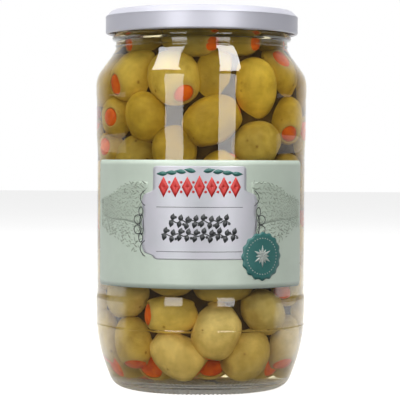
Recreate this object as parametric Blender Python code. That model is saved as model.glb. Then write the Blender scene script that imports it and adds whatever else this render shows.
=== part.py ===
"""A shut glass jar of stuffed olives, in metres, +Z up, standing on the origin, label towards -Y."""

import math

import bmesh
import bpy
import numpy as np
from mathutils import Vector

# Round pieces, and the angles from which an edge is drawn sharp
SIDES = 36
NOTHING = 1e-5
MM = 0.001
SHARP_FROM = 30.0
OLIVE_SHARP_FROM = 60.0

# Jar, outside: radii and heights from the rim down
RIM_TOP = 0.1627
RIM_RADIUS = 0.0369
RIM_ROUND = 0.0012
RIM_STEPS = 2
FINISH_BOTTOM = 0.1544
BEAD_RADIUS = 0.0380
BEAD_HEIGHT = 0.1529
BEAD_ROUND = 0.0013
BEAD_TURN = 60.0
BEAD_STEPS = 3
NECK_RADIUS = 0.0377
NECK_TOP = 0.1515
CONTACT_RADIUS = 0.04625
CONTACT_BOTTOM = 0.1295
BODY_RADIUS = 0.04605
BODY_TOP = 0.1250
BODY_BOTTOM = 0.1120
PANEL_RADIUS = 0.0456
PANEL_TOP = 0.1020
PANEL_BOTTOM = 0.0418
FOOT_TOP = 0.0391
FOOT_BOTTOM = 0.0375
BAND_STEPS = 2

# Jar, outside: the shoulder, which flares from a kink under the neck, runs straight and rounds over
SHOULDER_TOP = 0.1484
KINK_TURN = 22.6
FLARE_RADIUS = 0.0190
SHOULDER_TURN = 36.2
SHOULDER_ROUND = 0.0117
SHOULDER_BOTTOM = 0.1320
FLARE_STEPS = 3
ROUND_STEPS = 4

# Jar, outside: the knee, the long sweep under it and the round corner of the heel
KNEE_RADIUS = 0.0457
KNEE_HEIGHT = 0.0273
SWEEP_RADIUS = 0.0720
KNEE_TURN = 5.0
CORNER_TURN = 23.6
SWEEP_STEPS = 3
CORNER_STEPS = 4
BEARING_INNER = 0.0280
PUSH_UP = ((0.0270, 0.0011), (0.0240, 0.0019), (0.0120, 0.0028), (0.0, 0.0031))

# Jar, inside
BORE_RADIUS = RIM_RADIUS - RIM_ROUND
THROAT_RADIUS = 0.0354
THROAT_TOP = 0.1535
THROAT_BOTTOM = 0.1495
THROAT_STEPS = 5
INNER_RADIUS = 0.04385
INNER_SHOULDER = 0.1315
INNER_HEEL_TOP = 0.0285
INNER_HEEL_RADIUS = 0.0325
INNER_HEEL_STEPS = 5
FLOOR_HEIGHT = 0.0046
FLOOR_DOME = ((0.0, 0.0076), (0.0140, 0.0069), (0.0240, 0.0054))

# Six short screw threads round the finish
THREADS = 6
THREAD_ARC = 46.0
THREAD_STEPS = 4
THREAD_HEIGHT = 0.1605
THREAD_DROP = 0.0028
THREAD_FOOT = 0.0009
THREAD_CREST = 0.0004
THREAD_INNER = 0.0378
THREAD_OUTER = 0.0397
THREAD_FADE = 0.25
THREAD_END_SHARE = 0.25

# Lid
LID_TOP = 0.1650
LID_BUTTON_RADIUS = 0.0100
LID_BUTTON_HEIGHT = 0.1634
LID_PANEL_RADIUS = 0.0320
LID_PANEL_HEIGHT = 0.1639
LID_RING_INNER = 0.0342
LID_ROUND = 0.0015
LID_ROUND_STEPS = 3
LID_BEVEL_TURN = 46.0
LID_BEVEL_BOTTOM = 0.1621
LID_SHOULDER_RADIUS = 0.0423
LID_SKIRT_RADIUS = 0.0422
LID_CREASE_DROP = 0.0003
LID_CURL_CENTRE = 0.0413
LID_CURL_HEIGHT = 0.1556
LID_CURL_ROUND = 0.0009
LID_CURL_STEPS = 4
LID_SKIRT_INSIDE = 0.0414
LID_SHEET = 0.0010
GASKET_BOTTOM = RIM_TOP + 0.00035
GASKET_INNER = 0.0335
GASKET_OUTER = 0.0398
LUGS = 6
LUG_ARC = 12.0
LUG_INNER = 0.0389
LUG_OUTER = 0.0412
LUG_BOTTOM = 0.1553
LUG_TOP = 0.1563

# Label on the front of the panel
LABEL_ARC = 141.0
LABEL_TURN = -1.3
LABEL_BOTTOM = 0.0458
LABEL_TOP = 0.0997
LABEL_INNER = PANEL_RADIUS + 0.0003
LABEL_OUTER = LABEL_INNER + 0.0002
LABEL_CORNER = 0.0025
LABEL_CORNER_STEPS = 4
LABEL_FIRST_SHARE = 0.25
LABEL_STEPS = 28

# Olives: how many, how large, and where the heap ends
OLIVES = 108
OLIVE_SEED = 7
OLIVE_LENGTH = (0.0222, 0.0262)
OLIVE_GIRTH = (0.0180, 0.0206)
HEAP_TOP = 0.1585
HEAP_CLEARANCE = 0.0006
BALL_SHARE = 0.80
OLIVE_RINGS = 6
OLIVE_SIDES = 7

# Where the olives that aren't placed by hand start: in rings, each this far over the last
RINGS = ((0.0335, 9), (0.0140, 3))
FIRST_RING = FLOOR_HEIGHT + 0.0110
NEXT_FIRST_RING = FLOOR_HEIGHT + 0.0160
RING_STEP = 0.0172
RING_INSET = 0.0100
RING_SPREAD = 0.0020
RING_TILT = (-35.0, 60.0)
FRONT_ROOM = 0.0165

# Settling: shares of each crossing that are pushed out, and how firmly the front ones are held
SETTLE_ROUNDS = 420
PUSH_SHARE = 0.3
MOVE_SHARE = 0.4
SINK_STEP = 0.00012
HOLD_SHARE = 0.35
CLEAR_ROUNDS = 12

# The heap is one body: the olives near its outside, fused to a plain core
SHELL_REACH = 0.0060
TOP_LAYER = 0.0220
BOTTOM_LAYER = 0.0180
CORE_INSET = 0.0110
CORE_SIDES = 14
CORE_LEVELS = 9
CORE_DOME = 0.0020

# Looks: colour, roughness, how metallic, how clear
GLASS_LOOK = ((0.93, 0.96, 0.95), 0.02, 0.0, 1.0)
TINPLATE_LOOK = ((0.62, 0.63, 0.69), 0.3, 0.3, 0.0)
PAPER_LOOK = ((0.50, 0.62, 0.51), 0.5, 0.0, 0.0)
OLIVE_LOOK = ((0.40, 0.30, 0.06), 0.45, 0.0, 0.0)

# How the jar full of brine bends light, which places an olive behind the spot where it is seen
BRINE_INDEX = 1.34

# The olives that show in front: how far across, up and back they are, length and girth, all in
# millimetres, then the way the stuffed end points, as degrees clockwise from up and out of the view
FRONT_OLIVES = (
    (-25.3, 150.2, 0, 24, 18.0, 255, 64),
    (-4.3, 151.0, 0, 24, 18.0, 95, 18),
    (15.3, 150.6, 0, 23, 18.0, 92, 50),
    (28.6, 150.4, 0, 23, 18.0, 95, 50),
    (-29.6, 136.4, 0, 24, 20.5, 217, 69),
    (-11.2, 135.6, 0, 24, 20.5, 133, 37),
    (23.8, 130.9, 0, 27, 19.0, 172, -30),
    (34.7, 138.3, 0, 24, 19.0, 325, 42),
    (37.0, 118.4, 0, 24, 19.0, 222, 33),
    (-36.4, 118.4, 0, 24, 19.0, 95, 62),
    (-41.0, 132.3, 0, 24, 19.0, 268, 45),
    (-24.1, 117.6, 0, 23, 18.5, 185, -30),
    (4.0, 117.0, 0, 25, 20.5, 55, -15),
    (23.8, 106.5, 0, 24, 20.0, 80, -35),
    (4.4, 133.9, 8, 24, 19.0, 30, -30),
    (-28.8, 99.7, 0, 24, 19.0, 20, -20),
    (-11.0, 103.1, 0, 24, 19.0, 350, -25),
    (7.4, 93.3, 0, 23, 18.0, 30, -20),
    (37.0, 94.0, 0, 24, 19.0, 90, -30),
    (-38.7, 104.0, 0, 23, 18.0, 60, 62),
    (-31.0, 41.5, 0, 24, 20.0, 240, -15),
    (-11.4, 51.0, 0, 24, 19.0, 85, -10),
    (-13.0, 33.8, 0, 23, 16.5, 272, 28),
    (9.5, 47.6, 3, 25, 20.0, 95, -20),
    (27.2, 34.9, 0, 24, 18.0, 120, -20),
    (6.9, 26.1, 0, 24, 20.0, 195, -8),
    (-27.9, 20.3, 0, 24, 18.0, 165, 12),
    (-40.1, 20.5, 0, 23, 18.0, 180, 15),
    (-8.9, 13.4, 0, 26, 19.0, 125, -12),
    (19.5, 14.6, 0, 25, 20.5, 30, -30),
    (35.6, 19.2, 0, 24, 19.0, 195, 15),
    (-21.0, 12.5, 6, 22, 18.0, 190, 74),
    (31.0, 12.5, 6, 22, 18.0, 160, 70),
    (5.5, 13.0, 12, 22, 18.0, 180, 75),
    (-36.5, 12.0, 5, 22, 18.0, 180, 62),
)


def clear_scene():
    for thing in list(bpy.data.objects):
        bpy.data.objects.remove(thing, do_unlink=True)


def arc(centre, radius, start, end, steps):
    """Points on a circle in the plane of radius and height, with angles in degrees from outward to up."""
    angles = [math.radians(start + (end - start) * k / steps) for k in range(steps + 1)]
    return [(centre[0] + radius * math.cos(a), centre[1] + radius * math.sin(a)) for a in angles]


def eased(stations):
    """Points through (radius, height, steps) stations, each change of radius with a soft start and end."""
    points = [stations[0][:2]]
    for (r0, z0, _), (r1, z1, steps) in zip(stations, stations[1:]):
        for k in range(1, steps + 1):
            t = k / steps
            points.append((r0 + (r1 - r0) * t * t * (3 - 2 * t), z0 + (z1 - z0) * t))
    return points


def inner_wall():
    """The inside of the jar, from the middle of its floor to the top of its rim."""
    floor = [*FLOOR_DOME, (INNER_HEEL_RADIUS, FLOOR_HEIGHT)]
    wide = INNER_RADIUS - INNER_HEEL_RADIUS
    tall = INNER_HEEL_TOP - FLOOR_HEIGHT
    turns = [math.pi / 2 * (1 - k / INNER_HEEL_STEPS) for k in range(1, INNER_HEEL_STEPS)]
    heel = [
        (INNER_HEEL_RADIUS + wide * math.cos(a), INNER_HEEL_TOP - tall * math.sin(a)) for a in turns
    ]
    wall = eased(
        (
            (INNER_RADIUS, INNER_HEEL_TOP, 0),
            (INNER_RADIUS, INNER_SHOULDER, 1),
            (THROAT_RADIUS, THROAT_BOTTOM, THROAT_STEPS),
            (BORE_RADIUS, THROAT_TOP, 1),
        )
    )
    rim = arc((RIM_RADIUS, RIM_TOP - RIM_ROUND), RIM_ROUND, 180, 90, RIM_STEPS)
    return floor + heel + wall + rim


def heel():
    """The outside of the heel: the long sweep below the knee, then the corner down to the bearing ring."""
    first, last = math.radians(KNEE_TURN), math.radians(CORNER_TURN)
    sweep_centre = (
        KNEE_RADIUS - SWEEP_RADIUS * math.cos(first),
        KNEE_HEIGHT + SWEEP_RADIUS * math.sin(first),
    )
    sweep = arc(sweep_centre, SWEEP_RADIUS, -KNEE_TURN, -CORNER_TURN, SWEEP_STEPS)
    r, z = sweep[-1]
    corner = z / (1 - math.sin(last))
    centre = (r - corner * math.cos(last), corner)
    return sweep + arc(centre, corner, -CORNER_TURN, -90, CORNER_STEPS)[1:]


def shoulder():
    """The outside of the shoulder, from the kink under the neck down to the widest part of the jar."""
    kink = math.radians(KINK_TURN)
    flare_centre = (
        NECK_RADIUS + FLARE_RADIUS * math.cos(kink),
        SHOULDER_TOP + FLARE_RADIUS * math.sin(kink),
    )
    flare = arc(flare_centre, FLARE_RADIUS, 180 + KINK_TURN, 180 + SHOULDER_TURN, FLARE_STEPS)
    round_centre = (CONTACT_RADIUS - SHOULDER_ROUND, SHOULDER_BOTTOM)
    return flare + arc(round_centre, SHOULDER_ROUND, SHOULDER_TURN, 0, ROUND_STEPS)


def outer_wall():
    """The outside of the jar, from the top of its rim to the middle of its base."""
    rim = arc((RIM_RADIUS, RIM_TOP - RIM_ROUND), RIM_ROUND, 90, 0, RIM_STEPS)[1:]
    finish = [(RIM_RADIUS + RIM_ROUND, FINISH_BOTTOM)]
    bead = arc((BEAD_RADIUS, BEAD_HEIGHT), BEAD_ROUND, BEAD_TURN, -BEAD_TURN, BEAD_STEPS)
    neck = [(NECK_RADIUS, NECK_TOP)]
    wall = eased(
        (
            (CONTACT_RADIUS, CONTACT_BOTTOM, 0),
            (BODY_RADIUS, BODY_TOP, BAND_STEPS),
            (BODY_RADIUS, BODY_BOTTOM, 1),
            (PANEL_RADIUS, PANEL_TOP, BAND_STEPS),
            (PANEL_RADIUS, PANEL_BOTTOM, 1),
            (BODY_RADIUS, FOOT_TOP, BAND_STEPS),
            (BODY_RADIUS, FOOT_BOTTOM, 1),
        )
    )
    base = [(BEARING_INNER, 0.0), *PUSH_UP]
    return [*rim, *finish, *bead, *neck, *shoulder(), *wall, *heel(), *base]


def lid_profile():
    """The lid's sheet, from the middle of its top, over the curl at its foot, to its underside."""
    top = [
        (0.0, LID_BUTTON_HEIGHT),
        (LID_BUTTON_RADIUS, LID_BUTTON_HEIGHT),
        (LID_BUTTON_RADIUS + LID_SHEET, LID_PANEL_HEIGHT),
        (LID_PANEL_RADIUS, LID_PANEL_HEIGHT),
        (LID_RING_INNER, LID_TOP),
    ]
    slope = math.radians(LID_BEVEL_TURN)
    bevel_run = (LID_TOP - LID_ROUND * (1 - math.cos(slope)) - LID_BEVEL_BOTTOM) / math.tan(slope)
    round_middle = LID_SHOULDER_RADIUS - bevel_run - LID_ROUND * math.sin(slope)
    round_centre = (round_middle, LID_TOP - LID_ROUND)
    shoulder = arc(round_centre, LID_ROUND, 90, 90 - LID_BEVEL_TURN, LID_ROUND_STEPS)
    shoulder.append((LID_SHOULDER_RADIUS, LID_BEVEL_BOTTOM))
    crease = (LID_SKIRT_RADIUS, LID_BEVEL_BOTTOM - LID_CREASE_DROP)
    curl = arc((LID_CURL_CENTRE, LID_CURL_HEIGHT), LID_CURL_ROUND, 0, -180, LID_CURL_STEPS)
    inside = [
        (LID_SKIRT_INSIDE, LID_CURL_HEIGHT + 2 * LID_CURL_ROUND),
        (LID_SKIRT_INSIDE, LID_BEVEL_BOTTOM - LID_CREASE_DROP),
        (GASKET_OUTER, GASKET_BOTTOM),
        (GASKET_INNER, GASKET_BOTTOM),
        (LID_PANEL_RADIUS - LID_SHEET, LID_PANEL_HEIGHT - LID_SHEET),
        (LID_BUTTON_RADIUS + LID_SHEET, LID_PANEL_HEIGHT - LID_SHEET),
        (LID_BUTTON_RADIUS, LID_BUTTON_HEIGHT - LID_SHEET),
        (0.0, LID_BUTTON_HEIGHT - LID_SHEET),
    ]
    return [*top, *shoulder, crease, *curl, *inside]


def material(name, colour, roughness, metallic, transmission):
    finish = bpy.data.materials.new(name)
    finish.use_nodes = True
    shader = finish.node_tree.nodes["Principled BSDF"]
    shader.inputs["Base Color"].default_value = (*colour, 1.0)
    shader.inputs["Roughness"].default_value = roughness
    shader.inputs["Metallic"].default_value = metallic
    shader.inputs["Transmission Weight"].default_value = transmission
    finish.diffuse_color = (*colour, 1.0)
    return finish


def new_object(name, mesh, finish, collection=None):
    thing = bpy.data.objects.new(name, mesh)
    (collection or bpy.context.scene.collection).objects.link(thing)
    if finish:
        mesh.materials.append(finish)
    return thing


def turned(name, profile, sides, finish):
    """A solid of revolution about Z from (radius, height) points that run down its outer side."""
    mesh = bpy.data.meshes.new(name)
    edges = [(k, k + 1) for k in range(len(profile) - 1)]
    mesh.from_pydata([(r, 0.0, z) for r, z in profile], edges, [])
    thing = new_object(name, mesh, finish)
    screw = thing.modifiers.new("Turned", "SCREW")
    screw.axis = "Z"
    screw.angle = math.tau
    screw.steps = sides
    screw.render_steps = sides
    screw.use_merge_vertices = True
    screw.merge_threshold = NOTHING
    screw.use_smooth_shade = True
    return thing


def apply_modifiers(thing):
    graph = bpy.context.evaluated_depsgraph_get()
    applied = bpy.data.meshes.new_from_object(thing.evaluated_get(graph), depsgraph=graph)
    thing.modifiers.clear()
    thing.data = applied


def block_ring(sections):
    """A closed mesh through sections of four corners each, with a face over each end."""
    shape = bmesh.new()
    rows = [[shape.verts.new(corner) for corner in section] for section in sections]
    for one, two in zip(rows, rows[1:]):
        for k in range(4):
            shape.faces.new((one[k], one[(k + 1) % 4], two[(k + 1) % 4], two[k]))
    shape.faces.new(rows[0][::-1])
    shape.faces.new(rows[-1])
    bmesh.ops.recalc_face_normals(shape, faces=shape.faces)
    mesh = bpy.data.meshes.new("block")
    shape.to_mesh(mesh)
    shape.free()
    return mesh


def around(radius, angle, height):
    """A point by its radius, its angle in degrees round from -Y, positive towards +X, and its height."""
    a = math.radians(angle)
    return Vector((radius * math.sin(a), -radius * math.cos(a), height))


def fuse(thing, extras, solver="EXACT"):
    """Joins a collection's objects to this one by one Boolean union and removes them."""
    union = thing.modifiers.new("Fused", "BOOLEAN")
    union.operation = "UNION"
    union.operand_type = "COLLECTION"
    union.collection = extras
    union.solver = solver
    apply_modifiers(thing)
    for extra in list(extras.objects):
        bpy.data.objects.remove(extra, do_unlink=True)
    bpy.data.collections.remove(extras)


def extras_collection(name):
    extras = bpy.data.collections.new(name)
    bpy.context.scene.collection.children.link(extras)
    return extras


def shade(thing, sharp_from):
    thing.data.shade_smooth()
    thing.data.set_sharp_from_angle(angle=math.radians(sharp_from))


def thread_sections(start):
    """A screw thread that falls as it goes round and fades into the finish at both ends."""
    sections = []
    for k in range(THREAD_STEPS + 1):
        t = k / THREAD_STEPS
        full = min(1.0, t / THREAD_FADE, (1 - t) / THREAD_FADE)
        share = THREAD_END_SHARE + (1 - THREAD_END_SHARE) * full
        crest = THREAD_INNER + (THREAD_OUTER - THREAD_INNER) * share
        angle = start + THREAD_ARC * t
        height = THREAD_HEIGHT - THREAD_DROP * t
        sections.append(
            (
                around(THREAD_INNER, angle, height - THREAD_FOOT),
                around(crest, angle, height - THREAD_CREST),
                around(crest, angle, height + THREAD_CREST),
                around(THREAD_INNER, angle, height + THREAD_FOOT),
            )
        )
    return sections


def make_jar(finish):
    jar = turned("jar_glass", inner_wall() + outer_wall(), SIDES, finish)
    threads = extras_collection("threads")
    for k in range(THREADS):
        mesh = block_ring(thread_sections(360.0 / THREADS * k))
        new_object(f"thread_{k}", mesh, None, threads)
    fuse(jar, threads)
    shade(jar, SHARP_FROM)
    return jar


def lug_sections(middle):
    sections = []
    for angle in (middle - LUG_ARC / 2, middle, middle + LUG_ARC / 2):
        sections.append(
            (
                around(LUG_INNER, angle, LUG_BOTTOM),
                around(LUG_OUTER, angle, LUG_BOTTOM),
                around(LUG_OUTER, angle, LUG_TOP),
                around(LUG_INNER, angle, LUG_TOP),
            )
        )
    return sections


def make_lid(finish):
    lid = turned("lid", lid_profile(), SIDES, finish)
    lugs = extras_collection("lugs")
    for k in range(LUGS):
        mesh = block_ring(lug_sections(360.0 / LUGS * (k + 0.5)))
        new_object(f"lug_{k}", mesh, None, lugs)
    fuse(lid, lugs)
    shade(lid, SHARP_FROM)
    return lid


def corner_inset(run):
    """How far the label's edge is in from its straight line, this far along from its end."""
    if run >= LABEL_CORNER:
        return 0.0
    return LABEL_CORNER - math.sqrt(LABEL_CORNER**2 - (LABEL_CORNER - run) ** 2)


def label_stops():
    """Distances along the label at which its mesh has a line, closer together over its round corners."""
    length = math.radians(LABEL_ARC) * LABEL_OUTER
    turn = [math.pi / 2 * k / LABEL_CORNER_STEPS for k in range(1, LABEL_CORNER_STEPS)]
    corner = [LABEL_CORNER * (1 - math.cos(a)) for a in turn]
    flat = length - 2 * LABEL_CORNER
    middle = [LABEL_CORNER + flat * k / LABEL_STEPS for k in range(LABEL_STEPS + 1)]
    first = corner[0] * LABEL_FIRST_SHARE
    runs = [first, *corner, *middle]
    return runs + [length - run for run in reversed([first, *corner])], length


def make_label(finish):
    stops, length = label_stops()
    sections = []
    for run in stops:
        angle = LABEL_TURN + LABEL_ARC * (run / length - 0.5)
        inset = corner_inset(min(run, length - run))
        low, high = LABEL_BOTTOM + inset, LABEL_TOP - inset
        sections.append(
            (
                around(LABEL_INNER, angle, low),
                around(LABEL_OUTER, angle, low),
                around(LABEL_OUTER, angle, high),
                around(LABEL_INNER, angle, high),
            )
        )
    label = new_object("label", block_ring(sections), finish)
    shade(label, SHARP_FROM)
    return label


def seen_angle(across, radius):
    """The angle round the jar, in degrees, at which a thing at this radius is seen this far across."""
    bent = across / BRINE_INDEX
    turn = math.asin(across / BODY_RADIUS) - math.asin(bent / BODY_RADIUS)
    return math.degrees(turn + math.asin(max(-1.0, min(1.0, bent / radius))))


def facing(angle, clockwise, out):
    """A direction by its turn clockwise from up, seen from outside at this angle, and its tilt outwards."""
    a, c, o = (math.radians(value) for value in (angle, clockwise, out))
    right = Vector((math.cos(a), math.sin(a), 0.0))
    outwards = Vector((math.sin(a), -math.cos(a), 0.0))
    up = Vector((0.0, 0.0, 1.0))
    return (right * math.sin(c) + up * math.cos(c)) * math.cos(o) + outwards * math.sin(o)


def first_places(draw):
    """Where the olives start: those in front where they are seen, the rest in rings that fill the jar."""
    places, axes, sizes = [], [], []
    for across, up, back, length, girth, clockwise, out in FRONT_OLIVES:
        radius = wall_radius(up * MM) - girth * MM / 2 - HEAP_CLEARANCE
        angle = seen_angle(across * MM, radius)
        places.append(around(radius - back * MM, angle, up * MM))
        axes.append(facing(angle, clockwise, out))
        sizes.append((length * MM / 2, girth * MM / 2))
    front = np.array(places)
    level = FIRST_RING
    while len(places) < OLIVES:
        for radius, count in RINGS:
            turn = draw.uniform(0, 360)
            radius_here = min(radius, wall_radius(level) - RING_INSET)
            for k in range(count):
                angle = turn + 360 / count * k
                spot = around(radius_here, angle, level + draw.uniform(-RING_SPREAD, RING_SPREAD))
                room = np.linalg.norm(front - spot, axis=1).min()
                if len(places) < OLIVES and room > FRONT_ROOM:
                    places.append(spot)
                    axes.append(facing(angle, draw.uniform(0, 360), draw.uniform(*RING_TILT)))
                    sizes.append((draw.uniform(*OLIVE_LENGTH) / 2, draw.uniform(*OLIVE_GIRTH) / 2))
        level += RING_STEP
        if level > HEAP_TOP:
            level = NEXT_FIRST_RING
    return np.array(places), np.array(axes), np.array(sizes)


def wall_radius(height):
    """The inside radius of the jar at a height between its heel and its rim."""
    radii, heights = np.array(inner_wall()[len(FLOOR_DOME) :]).T
    return float(np.interp(height, heights, radii))


def wall_push(points, reach):
    """How balls of this reach have to move to be clear of the floor, the wall and the top of the heap."""
    below_top = [point for point in inner_wall() if point[1] < HEAP_TOP]
    wall = np.array([*below_top, (BORE_RADIUS, HEAP_TOP)])
    start, along = wall[:-1], wall[1:] - wall[:-1]
    size = np.linalg.norm(along, axis=1)
    inward = np.stack((-along[:, 1], along[:, 0]), axis=1) / size[:, None]
    radius = np.maximum(np.hypot(points[:, 0], points[:, 1]), NOTHING)
    flat = np.stack((radius, points[:, 2]), axis=1)
    offset = flat[:, None] - start[None]
    share = np.clip((offset * along).sum(2) / size**2, 0, 1)
    gap = offset - share[..., None] * along
    distance = np.linalg.norm(gap, axis=2)
    nearest = distance.argmin(axis=1)
    row = np.arange(len(points))
    side = (offset[row, nearest] * inward[nearest]).sum(1)
    depth = np.clip(reach + HEAP_CLEARANCE - side, 0, None)
    move = inward[nearest] * depth[:, None]
    push = np.zeros_like(points)
    push[:, :2] = points[:, :2] / radius[:, None] * move[:, :1]
    push[:, 2] = move[:, 1] - np.clip(points[:, 2] + reach - HEAP_TOP, 0, None)
    return push


def ball_centres(places, axes, ends):
    """The middles of the three balls that stand for each olive."""
    return (places[:, None] + axes[:, None] * ends[..., None]).reshape(-1, 3)


def clear_of_wall(places, axes, ends, reach):
    """The places after moving each olive by the strongest push that the wall gives its balls."""
    row = np.arange(len(places))
    for _ in range(CLEAR_ROUNDS):
        push = wall_push(ball_centres(places, axes, ends), reach).reshape(-1, 3, 3)
        strongest = np.linalg.norm(push, axis=2).argmax(axis=1)
        places = places + push[row, strongest]
    return places


def settled_olives():
    """The olives' middles, directions and half sizes, after those that cross are pushed apart."""
    places, axes, sizes = first_places(np.random.default_rng(OLIVE_SEED))
    count, held = len(places), len(FRONT_OLIVES)
    ends = (sizes[:, 0] - BALL_SHARE * sizes[:, 1])[:, None] * np.array((-1.0, 0.0, 1.0))
    reach = (sizes[:, 1][:, None] * np.array((BALL_SHARE, 1.0, BALL_SHARE))).ravel()
    owner = np.repeat(np.arange(count), 3)
    contact = (reach[:, None] + reach[None]) * (owner[:, None] != owner[None])
    places = clear_of_wall(places, axes, ends, reach)
    home, home_axes = places[:held].copy(), axes[:held].copy()
    for turn in range(SETTLE_ROUNDS):
        balls = ball_centres(places, axes, ends)
        between = balls[:, None] - balls[None]
        distance = np.linalg.norm(between, axis=2) + NOTHING
        overlap = np.clip(contact - distance, 0, None)
        push = (between * (overlap / distance)[..., None]).sum(1) * PUSH_SHARE
        push = (push + wall_push(balls, reach)).reshape(count, 3, 3)
        places = places + push.sum(1) * MOVE_SHARE
        swing = np.cross(axes[:, None] * ends[..., None], push).sum(1)
        axes = axes + np.cross(swing, axes) * MOVE_SHARE / (sizes[:, :1] ** 2)
        axes /= np.linalg.norm(axes, axis=1)[:, None]
        places[held:, 2] -= SINK_STEP * (1 - turn / SETTLE_ROUNDS)
        places[:held] += (home - places[:held]) * HOLD_SHARE
        axes[:held] += (home_axes - axes[:held]) * HOLD_SHARE
        axes[:held] /= np.linalg.norm(axes[:held], axis=1)[:, None]
    return clear_of_wall(places, axes, ends, reach), axes, sizes


def olive_mesh(place, axis, size):
    shape = bmesh.new()
    bmesh.ops.create_uvsphere(shape, u_segments=OLIVE_SIDES, v_segments=OLIVE_RINGS, radius=1.0)
    turn = Vector(axis).to_track_quat("Z", "Y").to_matrix()
    for vert in shape.verts:
        local = Vector((vert.co.x * size[1], vert.co.y * size[1], vert.co.z * size[0]))
        vert.co = turn @ local + Vector(place)
    mesh = bpy.data.meshes.new("olive")
    shape.to_mesh(mesh)
    shape.free()
    return mesh


def keep_outer_body(mesh):
    """Drops the sealed hollows and loose scraps that fusing leaves, and keeps the largest closed surface."""
    shape = bmesh.new()
    shape.from_mesh(mesh)
    left = set(shape.verts)
    bodies = []
    while left:
        edge_of_search = [left.pop()]
        body = set(edge_of_search)
        while edge_of_search:
            vert = edge_of_search.pop()
            for edge in vert.link_edges:
                other = edge.other_vert(vert)
                if other in left:
                    left.discard(other)
                    body.add(other)
                    edge_of_search.append(other)
        bodies.append(body)
    largest = max(bodies, key=len)
    bmesh.ops.delete(shape, geom=[v for v in shape.verts if v not in largest], context="VERTS")
    shape.to_mesh(mesh)
    shape.free()


def core_profile():
    """The heap's core: the jar's inside, drawn in by one fixed step, from its foot over its top."""
    low, high = FLOOR_HEIGHT + CORE_INSET, HEAP_TOP - CORE_INSET
    heights = np.linspace(high, low, CORE_LEVELS)
    side = [(wall_radius(z) - CORE_INSET, z) for z in heights]
    return [(0.0, high + CORE_DOME), *side, (0.0, low - CORE_DOME)]


def make_olives(finish):
    heap = turned("olives", core_profile(), CORE_SIDES, finish)
    pieces = extras_collection("pieces")
    places, axes, sizes = settled_olives()
    for k, (place, axis, size) in enumerate(zip(places, axes, sizes)):
        outside = wall_radius(place[2]) - math.hypot(place[0], place[1]) - size[1]
        near_ends = place[2] > HEAP_TOP - TOP_LAYER or place[2] < FLOOR_HEIGHT + BOTTOM_LAYER
        if outside < SHELL_REACH or near_ends:
            new_object(f"olive_{k}", olive_mesh(place, axis, size), None, pieces)
    fuse(heap, pieces, "MANIFOLD")
    keep_outer_body(heap.data)
    shade(heap, OLIVE_SHARP_FROM)
    return heap


def main():
    clear_scene()
    make_jar(material("clear_glass", *GLASS_LOOK))
    make_lid(material("painted_tinplate", *TINPLATE_LOOK))
    make_label(material("mint_paper", *PAPER_LOOK))
    make_olives(material("green_olive", *OLIVE_LOOK))


main()
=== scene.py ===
"""The looks of a shut glass jar of stuffed olives, in metres, +Z up, label towards -Y."""

import math

import bpy
import numpy as np
from mathutils import Matrix, Vector


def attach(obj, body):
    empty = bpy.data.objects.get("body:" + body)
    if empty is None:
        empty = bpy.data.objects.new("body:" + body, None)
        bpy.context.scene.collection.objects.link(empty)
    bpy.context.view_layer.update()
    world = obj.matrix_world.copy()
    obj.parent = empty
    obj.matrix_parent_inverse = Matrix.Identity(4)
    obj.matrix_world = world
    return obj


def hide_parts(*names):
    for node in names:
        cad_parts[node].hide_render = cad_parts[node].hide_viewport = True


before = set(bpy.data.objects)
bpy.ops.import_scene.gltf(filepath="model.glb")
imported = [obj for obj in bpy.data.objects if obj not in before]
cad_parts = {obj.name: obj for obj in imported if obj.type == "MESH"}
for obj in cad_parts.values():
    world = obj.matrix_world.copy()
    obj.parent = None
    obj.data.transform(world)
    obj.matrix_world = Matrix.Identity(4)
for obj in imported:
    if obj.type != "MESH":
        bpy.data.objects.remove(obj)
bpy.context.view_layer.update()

# Where the camera stands, in metres and degrees, and its picture in pixels
PICTURE_SIDE = 400
PIXELS_PER_RADIAN = 1820.0
SENSOR = 36.0
CAMERA_DISTANCE = 0.803
CAMERA_HEIGHT = 0.0997
CAMERA_TILT = 1.26
CAMERA_ROLL = 0.29
AXIS_PIXEL = 200.9

# Round pieces
GLASS_SIDES = 448
LID_SIDES = 192
BRINE_SIDES = 256
FINE = 4
NOTHING = 1e-5
LEAST = 1e-9
MM = 0.001

# Jar, outside: radii and heights from the rim down
RIM_TOP = 0.1627
RIM_RADIUS = 0.0369
RIM_ROUND = 0.0012
FINISH_BOTTOM = 0.1544
BEAD_RADIUS = 0.0380
BEAD_HEIGHT = 0.1529
BEAD_ROUND = 0.0013
BEAD_TURN = 60
BEAD_STEPS = 10
NECK_RADIUS = 0.0377
NECK_TOP = 0.1515
NECK_SEAM = 0.1494
NECK_SEAM_ROUND = 0.00035
NECK_SEAM_TURN = 80
NECK_SUPPORT = 0.00015
SEAM_STEPS = 6
CONTACT_RADIUS = 0.04625
CONTACT_BOTTOM = 0.1295
BODY_RADIUS = 0.04605
BODY_TOP = 0.1250
BODY_BOTTOM = 0.1120
PANEL_RADIUS = 0.0456
PANEL_TOP = 0.1020
PANEL_BOTTOM = 0.0418
FOOT_TOP = 0.0391
FOOT_BOTTOM = 0.0375
SUPPORT = 0.0006

# Jar, outside: the shoulder, which flares from a kink under the neck, runs straight and rounds over
SHOULDER_TOP = 0.1484
KINK_TURN = 22.6
KINK_ROUND = 0.0008
KINK_STEPS = 4
FLARE_RADIUS = 0.0190
SHOULDER_TURN = 36.2
SHOULDER_ROUND = 0.0117
SHOULDER_BOTTOM = 0.1320

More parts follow.
